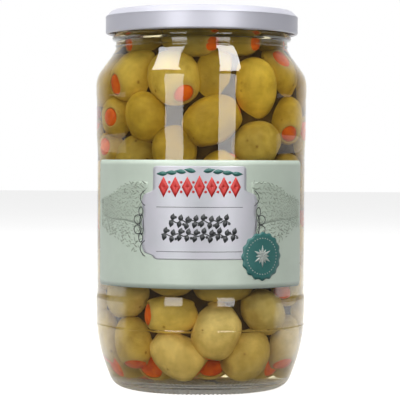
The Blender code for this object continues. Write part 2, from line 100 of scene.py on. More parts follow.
# Jar, outside: the knee, the long sweep under it and the round corner of the heel
KNEE_RADIUS = 0.0457
KNEE_HEIGHT = 0.0273
KNEE_SEAM_ROUND = 0.00028
KNEE_SEAM_TURN = 70
ABOVE_KNEE = (0.0095, 0.0050, 0.0012)
SWEEP_RADIUS = 0.0720
KNEE_TURN = 5.0
CORNER_TURN = 23.6
SWEEP_STEPS = 10
CORNER_STEPS = 16
BEARING_INNER = 0.0280
PUSH_UP = ((0.0270, 0.0011), (0.0240, 0.0019), (0.0120, 0.0028), (0.0, 0.0031))

# Knurls: small crescents pressed into the bottom edge
KNURLS = 112
KNURL_DEPTH = 0.0006
KNURL_INNER = 0.0305
KNURL_OUTER = 0.0390
KNURL_TOP = 0.004
FROST_FADE = (0.0024, 0.0036)
FROST_ROUGHNESS = 0.45

# Jar, inside
BORE_RADIUS = RIM_RADIUS - RIM_ROUND
THROAT_RADIUS = 0.0354
THROAT_TOP = 0.1535
THROAT_BOTTOM = 0.1495
INNER_RADIUS = 0.04385
INNER_SHOULDER = 0.1315
INNER_HEEL_TOP = 0.0285
INNER_HEEL_RADIUS = 0.0325
INNER_HEEL_STEPS = 5
FLOOR_HEIGHT = 0.0046
FLOOR_DOME = ((0.0, 0.0076), (0.0140, 0.0069), (0.0240, 0.0054))

# Six short screw threads round the finish
THREADS = 6
THREAD_ARC = 46.0
THREAD_HEIGHT = 0.1605
THREAD_DROP = 0.0028
THREAD_HALF = 0.0009
THREAD_RISE = 0.0016
THREAD_ROWS = 14
THREAD_FADE = 4

# Brine: how far its skin lies inside the glass wall, and its level
BRINE_OVERLAP = 0.00025
BRINE_TOP = 0.1592

# Lid
LID_TOP = 0.1650
LID_BUTTON_RADIUS = 0.0100
LID_BUTTON_HEIGHT = 0.1634
LID_PANEL_RADIUS = 0.0320
LID_PANEL_HEIGHT = 0.1639
LID_RING_INNER = 0.0342
LID_ROUND = 0.0015
LID_ROUND_STEPS = 8
LID_BEVEL_TURN = 46.0
LID_BEVEL_BOTTOM = 0.1621
LID_EDGE_ROUND = 0.0004
LID_EDGE_STEPS = 4
LID_SHOULDER_RADIUS = 0.0423
LID_SKIRT_RADIUS = 0.0422
LID_CREASE_DROP = 0.0003
LID_CURL_CENTRE = 0.0413
LID_CURL_HEIGHT = 0.1556
LID_CURL_ROUND = 0.0009
LID_CURL_STEPS = 14
LID_SKIRT_INSIDE = 0.0414
LID_SHEET = 0.0010
GASKET_BOTTOM = RIM_TOP + 0.00035
GASKET_INNER = 0.0335
GASKET_OUTER = 0.0398
LUGS = 6
LUG_HALF_ARC = 6.0
LUG_INNER = 0.0389
LUG_SLOPE = 1.5

# Label on the front of the panel
LABEL_ARC = 141.0
LABEL_TURN = -1.3
LABEL_BOTTOM = 0.0458
LABEL_TOP = 0.0997
LABEL_INNER = PANEL_RADIUS + 0.0001
LABEL_OUTER = PANEL_RADIUS + 0.0003
LABEL_CORNER = 0.0025
LABEL_CORNER_STEPS = 8
LABEL_FIRST_SHARE = 0.004
LABEL_COLUMNS = 120
LABEL_ROWS = 24

# Olives: how many, how large, and where the heap ends
OLIVES = 108
OLIVE_SEED = 7
OLIVE_LENGTH = (0.0222, 0.0262)
OLIVE_GIRTH = (0.0180, 0.0206)
HEAP_TOP = 0.1585
HEAP_CLEARANCE = 0.0006
BALL_SHARE = 0.80

# Where the olives that aren't listed start: in rings, each this far over the last
RINGS = ((0.0335, 9), (0.0140, 3))
FIRST_RING = FLOOR_HEIGHT + 0.0110
NEXT_FIRST_RING = FLOOR_HEIGHT + 0.0160
RING_STEP = 0.0172
RING_INSET = 0.0100
RING_SPREAD = 0.0020
RING_TILT = (-35.0, 60.0)
FRONT_ROOM = 0.0165

# Settling: shares of each crossing that are pushed out, and how firmly the front ones are held
SETTLE_ROUNDS = 420
PUSH_SHARE = 0.3
MOVE_SHARE = 0.4
SINK_STEP = 0.00012
HOLD_SHARE = 0.35
CLEAR_ROUNDS = 12

# One olive: its mesh, the hole in its stuffed end and its dents
OLIVE_ROWS = 15
OLIVE_SIDES = 26
PLUG_SIDES = 20
HOLE_RADIUS = (0.0038, 0.0045)
PLUG_RISE = (0.0008, 0.0020)
FAR_FLAT = 0.945
# The dark core of painted shade in the heap: its inset from the wall, its sides, levels and domed ends
CORE_INSET = 0.0110
CORE_SIDES = 48
CORE_LEVELS = 24
CORE_DOME = 0.0020
HOLE_LIP = 0.0007
HOLE_DEPTH = 0.0030
HOLE_TAPER = 0.94
LIP_SHAPE = ((0.45, 0.12), (0.1, -0.2), (0.0, -1.0))
LIP_FADE = 0.003
PLUG_OVERLAP = 0.12
PLUG_LOW = 0.85
PLUG_FOOT = 0.9
PLUG_EDGE = 1.2
PLUG_DOME = 0.9
DOME_SHARES = (0.28, 0.5, 0.7, 0.86, 1.0)
OLIVE_BOW = (2.0, 2.35)
LUMP_WAVES = 5
SKIN_LUMPS = ((0.050, 170.0), (0.016, 430.0))
SKIN_DRAW = 0.012
SKIN_CALM = 0.004
PLUG_LUMPS = (0.0004, 900.0)
DENTS = 5
DENT_LEVEL = 0.6
DENT_REACH = (0.86, 0.95)
DENT_SHARE = 0.75
WALL_GAP = 0.00025
SKIN_SEED = 31
LOW_HEAP = 0.022
LOW_HOLE = 1.3

# How the jar full of brine bends light, which places an olive behind the spot where it is seen
BRINE_INDEX = 1.34
GLASS_INDEX = 1.52

# The olives that show in front: how far across, up and back they are, length and girth, all in
# millimetres, then the way the stuffed end points, as degrees clockwise from up and out of the view
FRONT_OLIVES = (
    (-25.3, 150.2, 0, 24, 18.0, 255, 64),
    (-4.3, 151.0, 0, 24, 18.0, 95, 18),
    (15.3, 150.6, 0, 23, 18.0, 92, 50),
    (28.6, 150.4, 0, 23, 18.0, 95, 50),
    (-29.6, 136.4, 0, 24, 20.5, 217, 69),
    (-11.2, 135.6, 0, 24, 20.5, 133, 37),
    (23.8, 130.9, 0, 27, 19.0, 172, -30),
    (34.7, 138.3, 0, 24, 19.0, 325, 42),
    (37.0, 118.4, 0, 24, 19.0, 222, 33),
    (-36.4, 118.4, 0, 24, 19.0, 95, 62),
    (-41.0, 132.3, 0, 24, 19.0, 268, 45),
    (-24.1, 117.6, 0, 23, 18.5, 185, -30),
    (4.0, 117.0, 0, 25, 20.5, 55, -15),
    (23.8, 106.5, 0, 24, 20.0, 80, -35),
    (4.4, 133.9, 8, 24, 19.0, 30, -30),
    (-28.8, 99.7, 0, 24, 19.0, 20, -20),
    (-11.0, 103.1, 0, 24, 19.0, 350, -25),
    (7.4, 93.3, 0, 23, 18.0, 30, -20),
    (37.0, 94.0, 0, 24, 19.0, 90, -30),
    (-38.7, 104.0, 0, 23, 18.0, 60, 62),
    (-31.0, 41.5, 0, 24, 20.0, 240, -15),
    (-11.4, 51.0, 0, 24, 19.0, 85, -10),
    (-13.0, 33.8, 0, 23, 16.5, 272, 28),
    (9.5, 47.6, 3, 25, 20.0, 95, -20),
    (27.2, 34.9, 0, 24, 18.0, 120, -20),
    (6.9, 26.1, 0, 24, 20.0, 195, -8),
    (-27.9, 20.3, 0, 24, 18.0, 165, 12),
    (-40.1, 20.5, 0, 23, 18.0, 180, 15),
    (-8.9, 13.4, 0, 26, 19.0, 125, -12),
    (19.5, 14.6, 0, 25, 20.5, 30, -30),
    (35.6, 19.2, 0, 24, 19.0, 195, 15),
    (-21.0, 12.5, 6, 22, 18.0, 190, 74),
    (31.0, 12.5, 6, 22, 18.0, 160, 70),
    (5.5, 13.0, 12, 22, 18.0, 180, 75),
    (-36.5, 12.0, 5, 22, 18.0, 180, 62),
)

# How pale each of these olives is made, against the others: partly its own tone, partly painted light and
# shade, darkest for the four in the neck that lie in the lid's shade
FRONT_TONE_LIGHT_AND_SHADE = (
    0.5, 0.5, 0.6, 0.4, 1.15, 1.1, 1.25, 1.2, 1.05, 1.0, 1.0, 1.05, 1.0, 0.8, 0.95, 0.7, 0.85, 1.2,
    0.6, 1.0, 1.1, 0.8, 1.4, 0.8, 0.95, 1.35, 1.2, 1.0, 1.35, 1.15, 0.9, 1.0, 1.0, 1.0, 1.0,
)

# Corners of the panels that the glass mirrors, across and up in each one's own plane
LEFT_STRIP = ((-0.083, -0.290), (0.164, -0.290), (0.120, 0.285), (-0.120, 0.285))
RIGHT_STRIP = ((-0.152, -0.290), (0.079, -0.290), (0.122, 0.285), (-0.095, 0.285))
LEFT_TOP = ((-0.168, -0.096), (0.274, -0.120), (0.115, 0.156), (-0.190, 0.200))
RIGHT_TOP = ((-0.175, -0.161), (0.116, -0.168), (0.229, 0.190), (-0.022, 0.190))

# These panels: the way to each one's middle as degrees round from -Y and up, its distance, its roll,
# its corners and its radiance
MIRRORED = (
    ("left_strip", -31.0, 15.0, 0.7, 0.0, LEFT_STRIP, 6.3),
    ("right_strip", 29.0, 15.0, 0.7, 0.0, RIGHT_STRIP, 6.3),
    ("left_top", -60.0, 58.0, 0.9, 21.5, LEFT_TOP, 10.5),
    ("right_top", 43.0, 60.0, 0.9, -10.0, RIGHT_TOP, 14.0),
)
MIRROR_BASE = 0.100

# Soft lights that only light what isn't glossy: degrees round and up, width and height, radiance
FILLS = (
    ("front_fill", 0.0, 16.0, 1.0, 0.9, 3.0),
    ("left_fill", -52.0, 25.0, 0.6, 0.9, 1.5),
    ("top_fill", 0.0, 89.0, 1.6, 1.6, 3.2),
)
FILL_DISTANCE = 1.2
JAR_MIDDLE = 0.080
WORLD_BACK = 1.0
WORLD_FRONT = 0.05
WORLD_FADE = (0.45, 0.95)

# Painted shade: the floor in front of the jar is dark for the mirrored light and every other ray but the
# camera's, standing in for the jar's shadow near its foot: where it fades, and how far
FLOOR_SHADE_FADE = (-0.052, 0.040)
FLOOR_SHADE_LEVEL = 0.06
FLOOR_DIFFUSE = 0.55
FLOOR_HALF = 5.0
FLOOR_DROP = -0.0002
FLOOR_TINTS = ((0.3, (0.48, 0.48, 0.48)), (0.7, (0.52, 0.52, 0.52)))
FLOOR_GLOW = 0.8

# Shader values, and colours as stops of a ramp, each a position and a colour
LACQUER_METALLIC = 0.13
OLIVE_SHINE = 0.06
PEPPER_SHINE = 0.08
WHITE = (1.0, 1.0, 1.0)
LACQUER_TINTS = ((0.3, (0.585, 0.585, 0.66)), (0.7, (0.615, 0.615, 0.69)))
OLIVE_TINTS = ((0.0, (0.55, 0.355, 0.030)), (0.5, (0.62, 0.420, 0.045)), (1.0, (0.72, 0.515, 0.090)))
OLIVE_CLOUDS = ((0.34, (0.76, 0.72, 0.56)), (0.66, (1.12, 1.13, 1.15)))
OLIVE_SPECKS = ((0.0, (0.86, 0.80, 0.66)), (0.16, WHITE))
OLIVE_SCARS = ((0.05, (0.50, 0.36, 0.24)), (0.11, WHITE))
# Painted light: olives low in the jar are made paler and greyer, as the pale floor under the jar lights
# them
LOW_PAINTED_LIGHT_TINTS = (
    (0.24, (0.92, 0.93, 1.60)),
    (0.40, (0.98, 1.05, 2.20)),
    (0.60, (0.98, 1.05, 2.20)),
    (0.80, WHITE),
)
LIP_COLOUR = (0.56, 0.37, 0.08)
# Painted shade: the dark browns of the deep gaps between the olives, on the heap's core
HEAP_SHADE_TINTS = ((0.35, (0.060, 0.034, 0.010)), (0.65, (0.13, 0.080, 0.022)))
PEPPER_TINTS = ((0.3, (0.76, 0.095, 0.002)), (0.7, (0.97, 0.200, 0.004)))
GLASS_COLOUR = (0.985, 0.99, 0.985)
BRINE_COLOUR = (1.0, 0.995, 0.98)
BRINE_DEPTH_COLOUR = (0.93, 0.80, 0.35, 1.0)
BRINE_DENSITY = 14.0

# Marks on the skin: cells to a metre, colours from a cell's middle outwards, and their share
OLIVE_MARKS = ((420.0, OLIVE_SPECKS, 0.6), (130.0, OLIVE_SCARS, 0.8))

# Paper and inks: the lighter and the darker colour, roughness and metallic
PAPERS = {
    "label_paper": ((0.635, 0.73, 0.625), (0.60, 0.69, 0.59), 0.40, 0.0),
    "plaque_foil": ((0.61, 0.60, 0.66), (0.57, 0.58, 0.62), 0.36, 0.1),
    "dark_ink": ((0.045, 0.05, 0.05), (0.03, 0.033, 0.035), 0.4, 0.0),
    "red_ink": ((0.72, 0.026, 0.018), (0.62, 0.020, 0.014), 0.45, 0.0),
    "green_ink": ((0.035, 0.17, 0.14), (0.025, 0.14, 0.12), 0.38, 0.0),
    "seal_ink": ((0.045, 0.19, 0.175), (0.035, 0.155, 0.145), 0.36, 0.0),
    "seal_mark_ink": ((0.50, 0.54, 0.50), (0.40, 0.45, 0.42), 0.4, 0.0),
    "leaf_ground_ink": ((0.535, 0.62, 0.52), (0.50, 0.58, 0.485), 0.42, 0.0),
    "leaf_ink_pale": ((0.41, 0.48, 0.39), (0.37, 0.435, 0.35), 0.42, 0.0),
    "leaf_ink_deep": ((0.34, 0.40, 0.315), (0.29, 0.345, 0.27), 0.42, 0.0),
}
ROUGHNESS_SPREAD = 0.06

# Print on the label: each layer's rank above the paper, one layer's height and the ink's share of it
LAYERS = {
    "leaf_ground": 1,
    "leaf_print_pale": 2,
    "leaf_print_deep": 3,
    "plaque": 4,
    "dark_ink": 5,
    "red_ink": 5,
    "green_ink": 5,
    "seal": 6,
    "seal_mark": 7,
}
INK = 0.00003
INK_SHARE = 0.8
LEAF_STEPS = 6
LEAF_BLUNT = 0.06
LEAF_BELLY = 0.8
DISC_CENTRE = 0.02

# Plaque and rules, in millimetres round from -Y and up
PLAQUE_MIDDLE = -0.6
PLAQUE_TOP = 97.2
PLAQUE_STEP = 86.0
PLAQUE_LOW_STEP = 60.3
PLAQUE_BOTTOM = 58.1
PLAQUE_NARROW = 20.1
PLAQUE_WIDE = 25.1
PLAQUE_CORNER = 1.6
PLAQUE_WAVE = 0.5
PLAQUE_WAVES = 3
PLAQUE_SOFT = 0.35
PLAQUE_LOW_SOFT = 0.25
PLAQUE_ROWS = 90
PLAQUE_COLUMNS = 15
RULES = (80.0, 61.4)
RULE_HALF = 18.5
RULE_WIDTH = 0.22

# Scrollwork beside the plaque: hooks at its corners, and loops by their middles, up and across, and
# half sizes, across and up
SCROLL_WIDTH = 0.36
HOOK_STEPS = 12
HOOK_INSET = 1.2
HOOK_REACH = 2.4
HOOK_BEND = 0.8
HOOK_START = -1.0
HOOK_LENGTH = 6.5
LOOP_STEPS = 20
SCROLL_LOOPS = (
    (78.0, 26.0, 1.0, 1.9),
    (74.6, 27.6, 1.9, 1.9),
    (70.4, 27.6, 1.9, 1.9),
    (72.5, 25.6, 0.9, 4.4),
    (67.0, 26.0, 1.0, 1.9),
)

# Two leafy rows in the plaque's middle: height, half width and pairs of leaves
LEAF_ROWS = ((74.0, 12.8, 8), (68.4, 16.2, 10))
STEM_STEPS = 60
STEM_WAVE = 0.5
STEM_TURN = 0.6
STEM_WIDTH = 0.5
ROW_LEAF = (3.0, 2.2)
ROW_LEAF_LEAN = 14
BERRY_RADIUS = 0.6
BERRY_SIDES = 12
BERRY_ACROSS = 1.5
BERRY_RISE = 1.3

# Red lozenges at the plaque's head, and the dots between them
LOZENGES = 7
LOZENGE_PITCH = 5.1
LOZENGE_HEIGHT = 88.4
LOZENGE_HALF = 2.35
LOZENGE_TALL = 4.4
LOZENGE_TALLEST = 5.0
LOZENGE_POINTS = 32
DOT_RADIUS = 0.6
DOT_SIDES = 16
DOT_HEIGHTS = (90.4, 86.4)

# Two green sprigs over them
SPRIG_LEAVES = 4
SPRIG_START = 1.6
SPRIG_PITCH = 4.0
SPRIG_HEIGHT = 94.9
SPRIG_DROP = 0.3
SPRIG_LEAN = (80, 4)
SPRIG_LEAF = (4.9, 2.0)

# Seal: its scalloped edge, its ring of dashes and its star
SEAL_MIDDLE = (27.6, 59.3)
SEAL_RADIUS = 10.0
SEAL_POINTS = 192
SEAL_RINGS = 8
SCALLOPS = 16
SCALLOP_DEPTH = 0.32
DASHES = 36
DASH_RADIUS = 7.6
DASH_EDGE = (0.36, 0.2)
STAR_RAYS = 12
STAR_REACH = (3.4, 4.7)
STAR_WIDTH = 1.2

# Fans of small leaves beside the plaque
ORNAMENT_SEED = 5
FAN_INNER = 22.5
FAN_OUTER = 53.5
FAN_TOPS = (91.0, 83.0)
FAN_DROPS = (33.0, 12.0)
FAN_ROWS = 15
FAN_COLUMNS = 24
FAN_LEAVES = 26
FAN_GROUND = (0.02, 0.60)
FAN_HUMP = 2.2
FAN_HUMP_RUN = 1.5
FAN_SPREAD = (0.2, 0.8)
FAN_SHIFT = 0.02
FAN_AHEAD = 0.02
FAN_LEAF = (1.5, 2.5)
FAN_LEAF_SHRINK = (1.1, 0.35)
FAN_LEAF_WIDTH = 0.26
FAN_LEAN = (10, 34)
FAN_DEEP = 0.45
FAN_THIN = 1.6


def arc(centre, radius, start, end, steps):
    """Points on a circle in the plane of radius and height, with angles in degrees from outward to up."""
    angles = [math.radians(start + (end - start) * k / steps) for k in range(steps + 1)]
    return [(centre[0] + radius * math.cos(a), centre[1] + radius * math.sin(a)) for a in angles]


def eased(stations):
    """Points through (radius, height, steps) stations, each change of radius with a soft start and end."""
    points = [stations[0][:2]]
    for (r0, z0, _), (r1, z1, steps) in zip(stations, stations[1:]):
        for k in range(1, steps + 1):
            t = k / steps
            points.append((r0 + (r1 - r0) * t * t * (3 - 2 * t), z0 + (z1 - z0) * t))
    return points


def inner_wall(fine=1):
    """The inside of the jar, from the middle of its floor to the top of its rim."""
    floor = [*FLOOR_DOME, (INNER_HEEL_RADIUS, FLOOR_HEIGHT)]
    wide = INNER_RADIUS - INNER_HEEL_RADIUS
    tall = INNER_HEEL_TOP - FLOOR_HEIGHT
    steps = INNER_HEEL_STEPS * fine
    turns = [math.pi / 2 * (1 - k / steps) for k in range(1, steps)]
    heel_curve = [
        (INNER_HEEL_RADIUS + wide * math.cos(a), INNER_HEEL_TOP - tall * math.sin(a)) for a in turns
    ]
    wall = eased(
        (
            (INNER_RADIUS, INNER_HEEL_TOP, 0),
            (INNER_RADIUS, INNER_SHOULDER, 1),
            (THROAT_RADIUS, THROAT_BOTTOM, 5 * fine),
            (BORE_RADIUS, THROAT_TOP, fine),
        )
    )
    rim = arc((RIM_RADIUS, RIM_TOP - RIM_ROUND), RIM_ROUND, 180, 90, 2 * fine)
    return floor + heel_curve + wall + rim


def heel():
    """The outside of the heel: the long sweep below the knee, then the corner down to the bearing ring."""
    first, last = math.radians(KNEE_TURN), math.radians(CORNER_TURN)
    sweep_centre = (
        KNEE_RADIUS - SWEEP_RADIUS * math.cos(first),
        KNEE_HEIGHT + SWEEP_RADIUS * math.sin(first),
    )
    sweep = arc(sweep_centre, SWEEP_RADIUS, -KNEE_TURN, -CORNER_TURN, SWEEP_STEPS)
    r, z = sweep[-1]
    corner = z / (1 - math.sin(last))
    centre = (r - corner * math.cos(last), corner)
    seam_middle = (KNEE_RADIUS - KNEE_SEAM_ROUND / 3, KNEE_HEIGHT + 2 * KNEE_SEAM_ROUND)
    seam = arc(seam_middle, KNEE_SEAM_ROUND, KNEE_SEAM_TURN, -KNEE_SEAM_TURN, SEAM_STEPS)
    lean = (BODY_RADIUS - KNEE_RADIUS) / (FOOT_BOTTOM - KNEE_HEIGHT)
    above = [(KNEE_RADIUS + lean * up, KNEE_HEIGHT + up) for up in ABOVE_KNEE]
    return above + seam + sweep + arc(centre, corner, -CORNER_TURN, -90, CORNER_STEPS)[1:]


def shoulder():
    """The outside of the shoulder, from the soft kink under the neck to the widest part of the jar."""
    kink = math.radians(KINK_TURN)
    flare_centre = (
        NECK_RADIUS + FLARE_RADIUS * math.cos(kink),
        SHOULDER_TOP + FLARE_RADIUS * math.sin(kink),
    )
    flare = arc(flare_centre, FLARE_RADIUS, 180 + KINK_TURN, 180 + SHOULDER_TURN, 3 * FINE)[1:]
    reach = KINK_ROUND * math.tan(kink / 2)
    kink_centre = (NECK_RADIUS + KINK_ROUND, SHOULDER_TOP + reach)
    soft_kink = arc(kink_centre, KINK_ROUND, 180, 180 + KINK_TURN, KINK_STEPS)
    round_centre = (CONTACT_RADIUS - SHOULDER_ROUND, SHOULDER_BOTTOM)
    return soft_kink + flare + arc(round_centre, SHOULDER_ROUND, SHOULDER_TURN, 0, 5 * FINE)


def outer_wall():
    """The outside of the jar, from the top of its rim to the middle of its base."""
    rim = arc((RIM_RADIUS, RIM_TOP - RIM_ROUND), RIM_ROUND, 90, 0, 2 * FINE)[1:]
    drop = RIM_TOP - RIM_ROUND - FINISH_BOTTOM
    heights = [RIM_TOP - RIM_ROUND - drop * k / THREAD_ROWS for k in range(1, THREAD_ROWS + 1)]
    finish = [(RIM_RADIUS + RIM_ROUND, z) for z in heights]
    bead = arc((BEAD_RADIUS, BEAD_HEIGHT), BEAD_ROUND, BEAD_TURN, -BEAD_TURN, BEAD_STEPS)
    seam = arc((NECK_RADIUS, NECK_SEAM), NECK_SEAM_ROUND, NECK_SEAM_TURN, -NECK_SEAM_TURN, SEAM_STEPS)
    wall = eased(
        (
            (CONTACT_RADIUS, CONTACT_BOTTOM, 0),
            (BODY_RADIUS, BODY_TOP, 4),
            (BODY_RADIUS, BODY_TOP - SUPPORT, 1),
            (BODY_RADIUS, BODY_BOTTOM + SUPPORT, 1),
            (BODY_RADIUS, BODY_BOTTOM, 1),
            (PANEL_RADIUS, PANEL_TOP, 6),
            (PANEL_RADIUS, PANEL_TOP - SUPPORT, 1),
            (PANEL_RADIUS, PANEL_BOTTOM + SUPPORT, 1),
            (PANEL_RADIUS, PANEL_BOTTOM, 1),
            (BODY_RADIUS, FOOT_TOP, 8),
            (BODY_RADIUS, FOOT_BOTTOM, 1),
        )
    )
    beside_seam = NECK_SEAM_ROUND + NECK_SUPPORT
    neck = [
        (NECK_RADIUS, NECK_TOP),
        (NECK_RADIUS, NECK_TOP - NECK_SUPPORT),
        (NECK_RADIUS, NECK_SEAM + beside_seam),
        *seam,
        (NECK_RADIUS, NECK_SEAM - beside_seam),
    ]
    base = [(KNURL_INNER, 0.0), (BEARING_INNER, 0.0), *PUSH_UP]
    return [*rim, *finish, *bead, *neck, *shoulder(), *wall, *heel(), *base]


def lid_profile():
    """The lid's sheet, from the middle of its top, over the curl at its foot, to its underside."""
    top = eased(
        (
            (0.0, LID_BUTTON_HEIGHT, 0),
            (LID_BUTTON_RADIUS, LID_BUTTON_HEIGHT, 2),
        )
    )
    step = [
        (LID_BUTTON_RADIUS + LID_SHEET * 0.5, (LID_BUTTON_HEIGHT + LID_PANEL_HEIGHT) / 2),
        (LID_BUTTON_RADIUS + LID_SHEET, LID_PANEL_HEIGHT),
        (LID_PANEL_RADIUS, LID_PANEL_HEIGHT),
        (LID_PANEL_RADIUS + LID_SHEET * 0.6, LID_PANEL_HEIGHT + LID_SHEET * 0.25),
        (LID_RING_INNER - LID_SHEET * 0.5, LID_TOP - LID_SHEET * 0.25),
        (LID_RING_INNER, LID_TOP),
        (LID_RING_INNER + LID_SHEET, LID_TOP),
    ]
    slope = math.radians(LID_BEVEL_TURN)
    bevel_run = (LID_TOP - LID_ROUND * (1 - math.cos(slope)) - LID_BEVEL_BOTTOM) / math.tan(slope)
    round_middle = LID_SHOULDER_RADIUS - bevel_run - LID_ROUND * math.sin(slope)
    round_centre = (round_middle, LID_TOP - LID_ROUND)
    top_round = arc(round_centre, LID_ROUND, 90, 90 - LID_BEVEL_TURN, LID_ROUND_STEPS)
    edge_middle = (LID_SHOULDER_RADIUS - LID_EDGE_ROUND, LID_BEVEL_BOTTOM)
    bevel_edge = arc(edge_middle, LID_EDGE_ROUND, 90 - LID_BEVEL_TURN, 0, LID_EDGE_STEPS)
    shoulder = top_round + bevel_edge
    crease = [(LID_SKIRT_RADIUS, LID_BEVEL_BOTTOM - LID_CREASE_DROP * k) for k in (1, 2)]
    low_skirt = (LID_SKIRT_RADIUS, LID_CURL_HEIGHT + 2 * LID_CURL_ROUND)
    curl = arc((LID_CURL_CENTRE, LID_CURL_HEIGHT), LID_CURL_ROUND, 0, -180, LID_CURL_STEPS)
    inside = [
        (LID_SKIRT_INSIDE, LID_CURL_HEIGHT + 2 * LID_CURL_ROUND),
        (LID_SKIRT_INSIDE, LID_BEVEL_BOTTOM - LID_CREASE_DROP),
        (GASKET_OUTER, GASKET_BOTTOM),
        (GASKET_INNER, GASKET_BOTTOM),
        (LID_PANEL_RADIUS - LID_SHEET, LID_PANEL_HEIGHT - LID_SHEET),
        (LID_BUTTON_RADIUS + LID_SHEET, LID_PANEL_HEIGHT - LID_SHEET),
        (LID_BUTTON_RADIUS, LID_BUTTON_HEIGHT - LID_SHEET),
        (0.0, LID_BUTTON_HEIGHT - LID_SHEET),
    ]
    return [*top, *step, *shoulder, *crease, low_skirt, *curl, *inside]


def around(radius, angle, height):
    """A point by its radius, its angle in degrees round from -Y, positive towards +X, and its height."""
    a = math.radians(angle)
    return Vector((radius * math.sin(a), -radius * math.cos(a), height))


def new_object(name, data):
    thing = bpy.data.objects.new(name, data)
    bpy.context.scene.collection.objects.link(thing)
    return thing


def new_piece(name, points, faces, finish, replaced=None):
    """A smooth mesh piece that rides on the one body."""
    mesh = bpy.data.meshes.new(name)
    mesh.from_pydata([tuple(map(float, p)) for p in points], [], faces)
    mesh.validate()
    mesh.shade_smooth()
    mesh.materials.append(finish)
    piece = new_object(name, mesh)
    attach(piece, "root")
    if replaced:
        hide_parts(replaced)
    return piece


def turned_faces(rings, sides, start=0, flip=False):
    """Quads between rings of points, and a fan over each end's own point, counted from start."""
    row = np.arange(sides)
    after = (row + 1) % sides
    faces = []
    for k in range(rings - 1):
        low, high = start + k * sides, start + (k + 1) * sides
        faces += np.stack((low + row, low + after, high + after, high + row), axis=1).tolist()
    first, last = start + rings * sides, start + rings * sides + 1
    end = start + (rings - 1) * sides
    faces += [(first, int(start + b), int(start + a)) for a, b in zip(row, after)]
    faces += [(last, int(end + a), int(end + b)) for a, b in zip(row, after)]
    return [(face[0], *face[:0:-1]) for face in faces] if flip else faces


def turned_piece(name, profile, sides, finish, replaced=None, relief=None):
    """A solid of revolution, with a relief function that may move each ring's radius and height."""
    rings = np.array(profile[1:-1])
    turn = np.arange(sides) * math.tau / sides
    radius, height = (np.repeat(rings[:, k][:, None], sides, axis=1) for k in (0, 1))
    faces = turned_faces(len(rings), sides, flip=True)
    if relief:
        radius, height = relief(radius, height, turn)
    points = np.stack((radius * np.sin(turn), -radius * np.cos(turn), height), axis=2).reshape(-1, 3)
    ends = [(0.0, 0.0, profile[0][1]), (0.0, 0.0, profile[-1][1])]
    return new_piece(name, np.concatenate((points, ends)), faces, finish, replaced)


def glass_relief(radius, height, turn):
    """The screw threads on the outside of the finish, and the knurls along the bottom edge."""
    degrees = np.degrees(turn) % (360.0 / THREADS)
    along = np.clip(degrees / THREAD_ARC, 0, 1)
    fade = np.clip(THREAD_FADE * np.minimum(along, 1 - along), 0, 1)
    off_crest = (height - (THREAD_HEIGHT - THREAD_DROP * along)) / THREAD_HALF
    on_finish = radius > RIM_RADIUS + RIM_ROUND - NOTHING
    crest = np.clip(1 - off_crest**2, 0, 1) * fade * on_finish * (height > FINISH_BOTTOM)
    ring = np.clip((radius - KNURL_INNER) / (KNURL_OUTER - KNURL_INNER), 0, 1)
    window = np.sin(math.pi * ring) * (height < KNURL_TOP)
    knurl = 0.5 - 0.5 * np.cos(KNURLS * turn)
    return radius + THREAD_RISE * crest, height + KNURL_DEPTH * knurl * window


def lid_relief(radius, height, turn):
    """The lugs that the curl is pressed in to form, on its inner side."""
    degrees = np.degrees(turn) % (360.0 / LUGS) - 180.0 / LUGS
    lug = np.clip(LUG_SLOPE - np.abs(degrees) / LUG_HALF_ARC * LUG_SLOPE, 0, 1)
    curl = (height < LID_CURL_HEIGHT + LID_CURL_ROUND) & (radius < LID_CURL_CENTRE)
    pressed = np.where(curl, lug, 0.0)
    return radius - (LID_SKIRT_INSIDE - LUG_INNER) * pressed, height


def make_glass():
    profile = inner_wall(FINE) + outer_wall()
    finish = clear_glass()
    turned_piece("glass", profile, GLASS_SIDES, finish, "jar_glass", glass_relief)


def brine_profile():
    """The brine's level top and its skin, a little outside the jar's inner wall."""
    wall = np.array([p for p in inner_wall(FINE) if p[1] < BRINE_TOP])
    along = np.gradient(wall, axis=0)
    along /= np.linalg.norm(along, axis=1)[:, None]
    outward = np.stack((along[:, 1], -along[:, 0]), axis=1)
    outward[0] = (0.0, -1.0)
    skin = wall + outward * BRINE_OVERLAP
    skin[0, 0] = 0.0
    return [(0.0, BRINE_TOP), (skin[-1, 0], BRINE_TOP)] + [tuple(p) for p in skin[::-1]]


def make_brine():
    turned_piece("brine", brine_profile(), BRINE_SIDES, brine_liquid())


def make_lid():
    finish = lid_lacquer()
    turned_piece("lid_shell", lid_profile(), LID_SIDES, finish, "lid", lid_relief)


def seen_angle(across, radius):
    """The angle round the jar, in degrees, at which a thing at this radius is seen this far across."""
    bent = across / BRINE_INDEX
    turn = math.asin(across / BODY_RADIUS) - math.asin(bent / BODY_RADIUS)
    return math.degrees(turn + math.asin(max(-1.0, min(1.0, bent / radius))))


def facing(angle, clockwise, out):
    """A direction by its turn clockwise from up, seen from outside at this angle, and its tilt outwards."""
    a, c, o = (math.radians(value) for value in (angle, clockwise, out))
    right = Vector((math.cos(a), math.sin(a), 0.0))
    outwards = Vector((math.sin(a), -math.cos(a), 0.0))
    up = Vector((0.0, 0.0, 1.0))
    return (right * math.sin(c) + up * math.cos(c)) * math.cos(o) + outwards * math.sin(o)


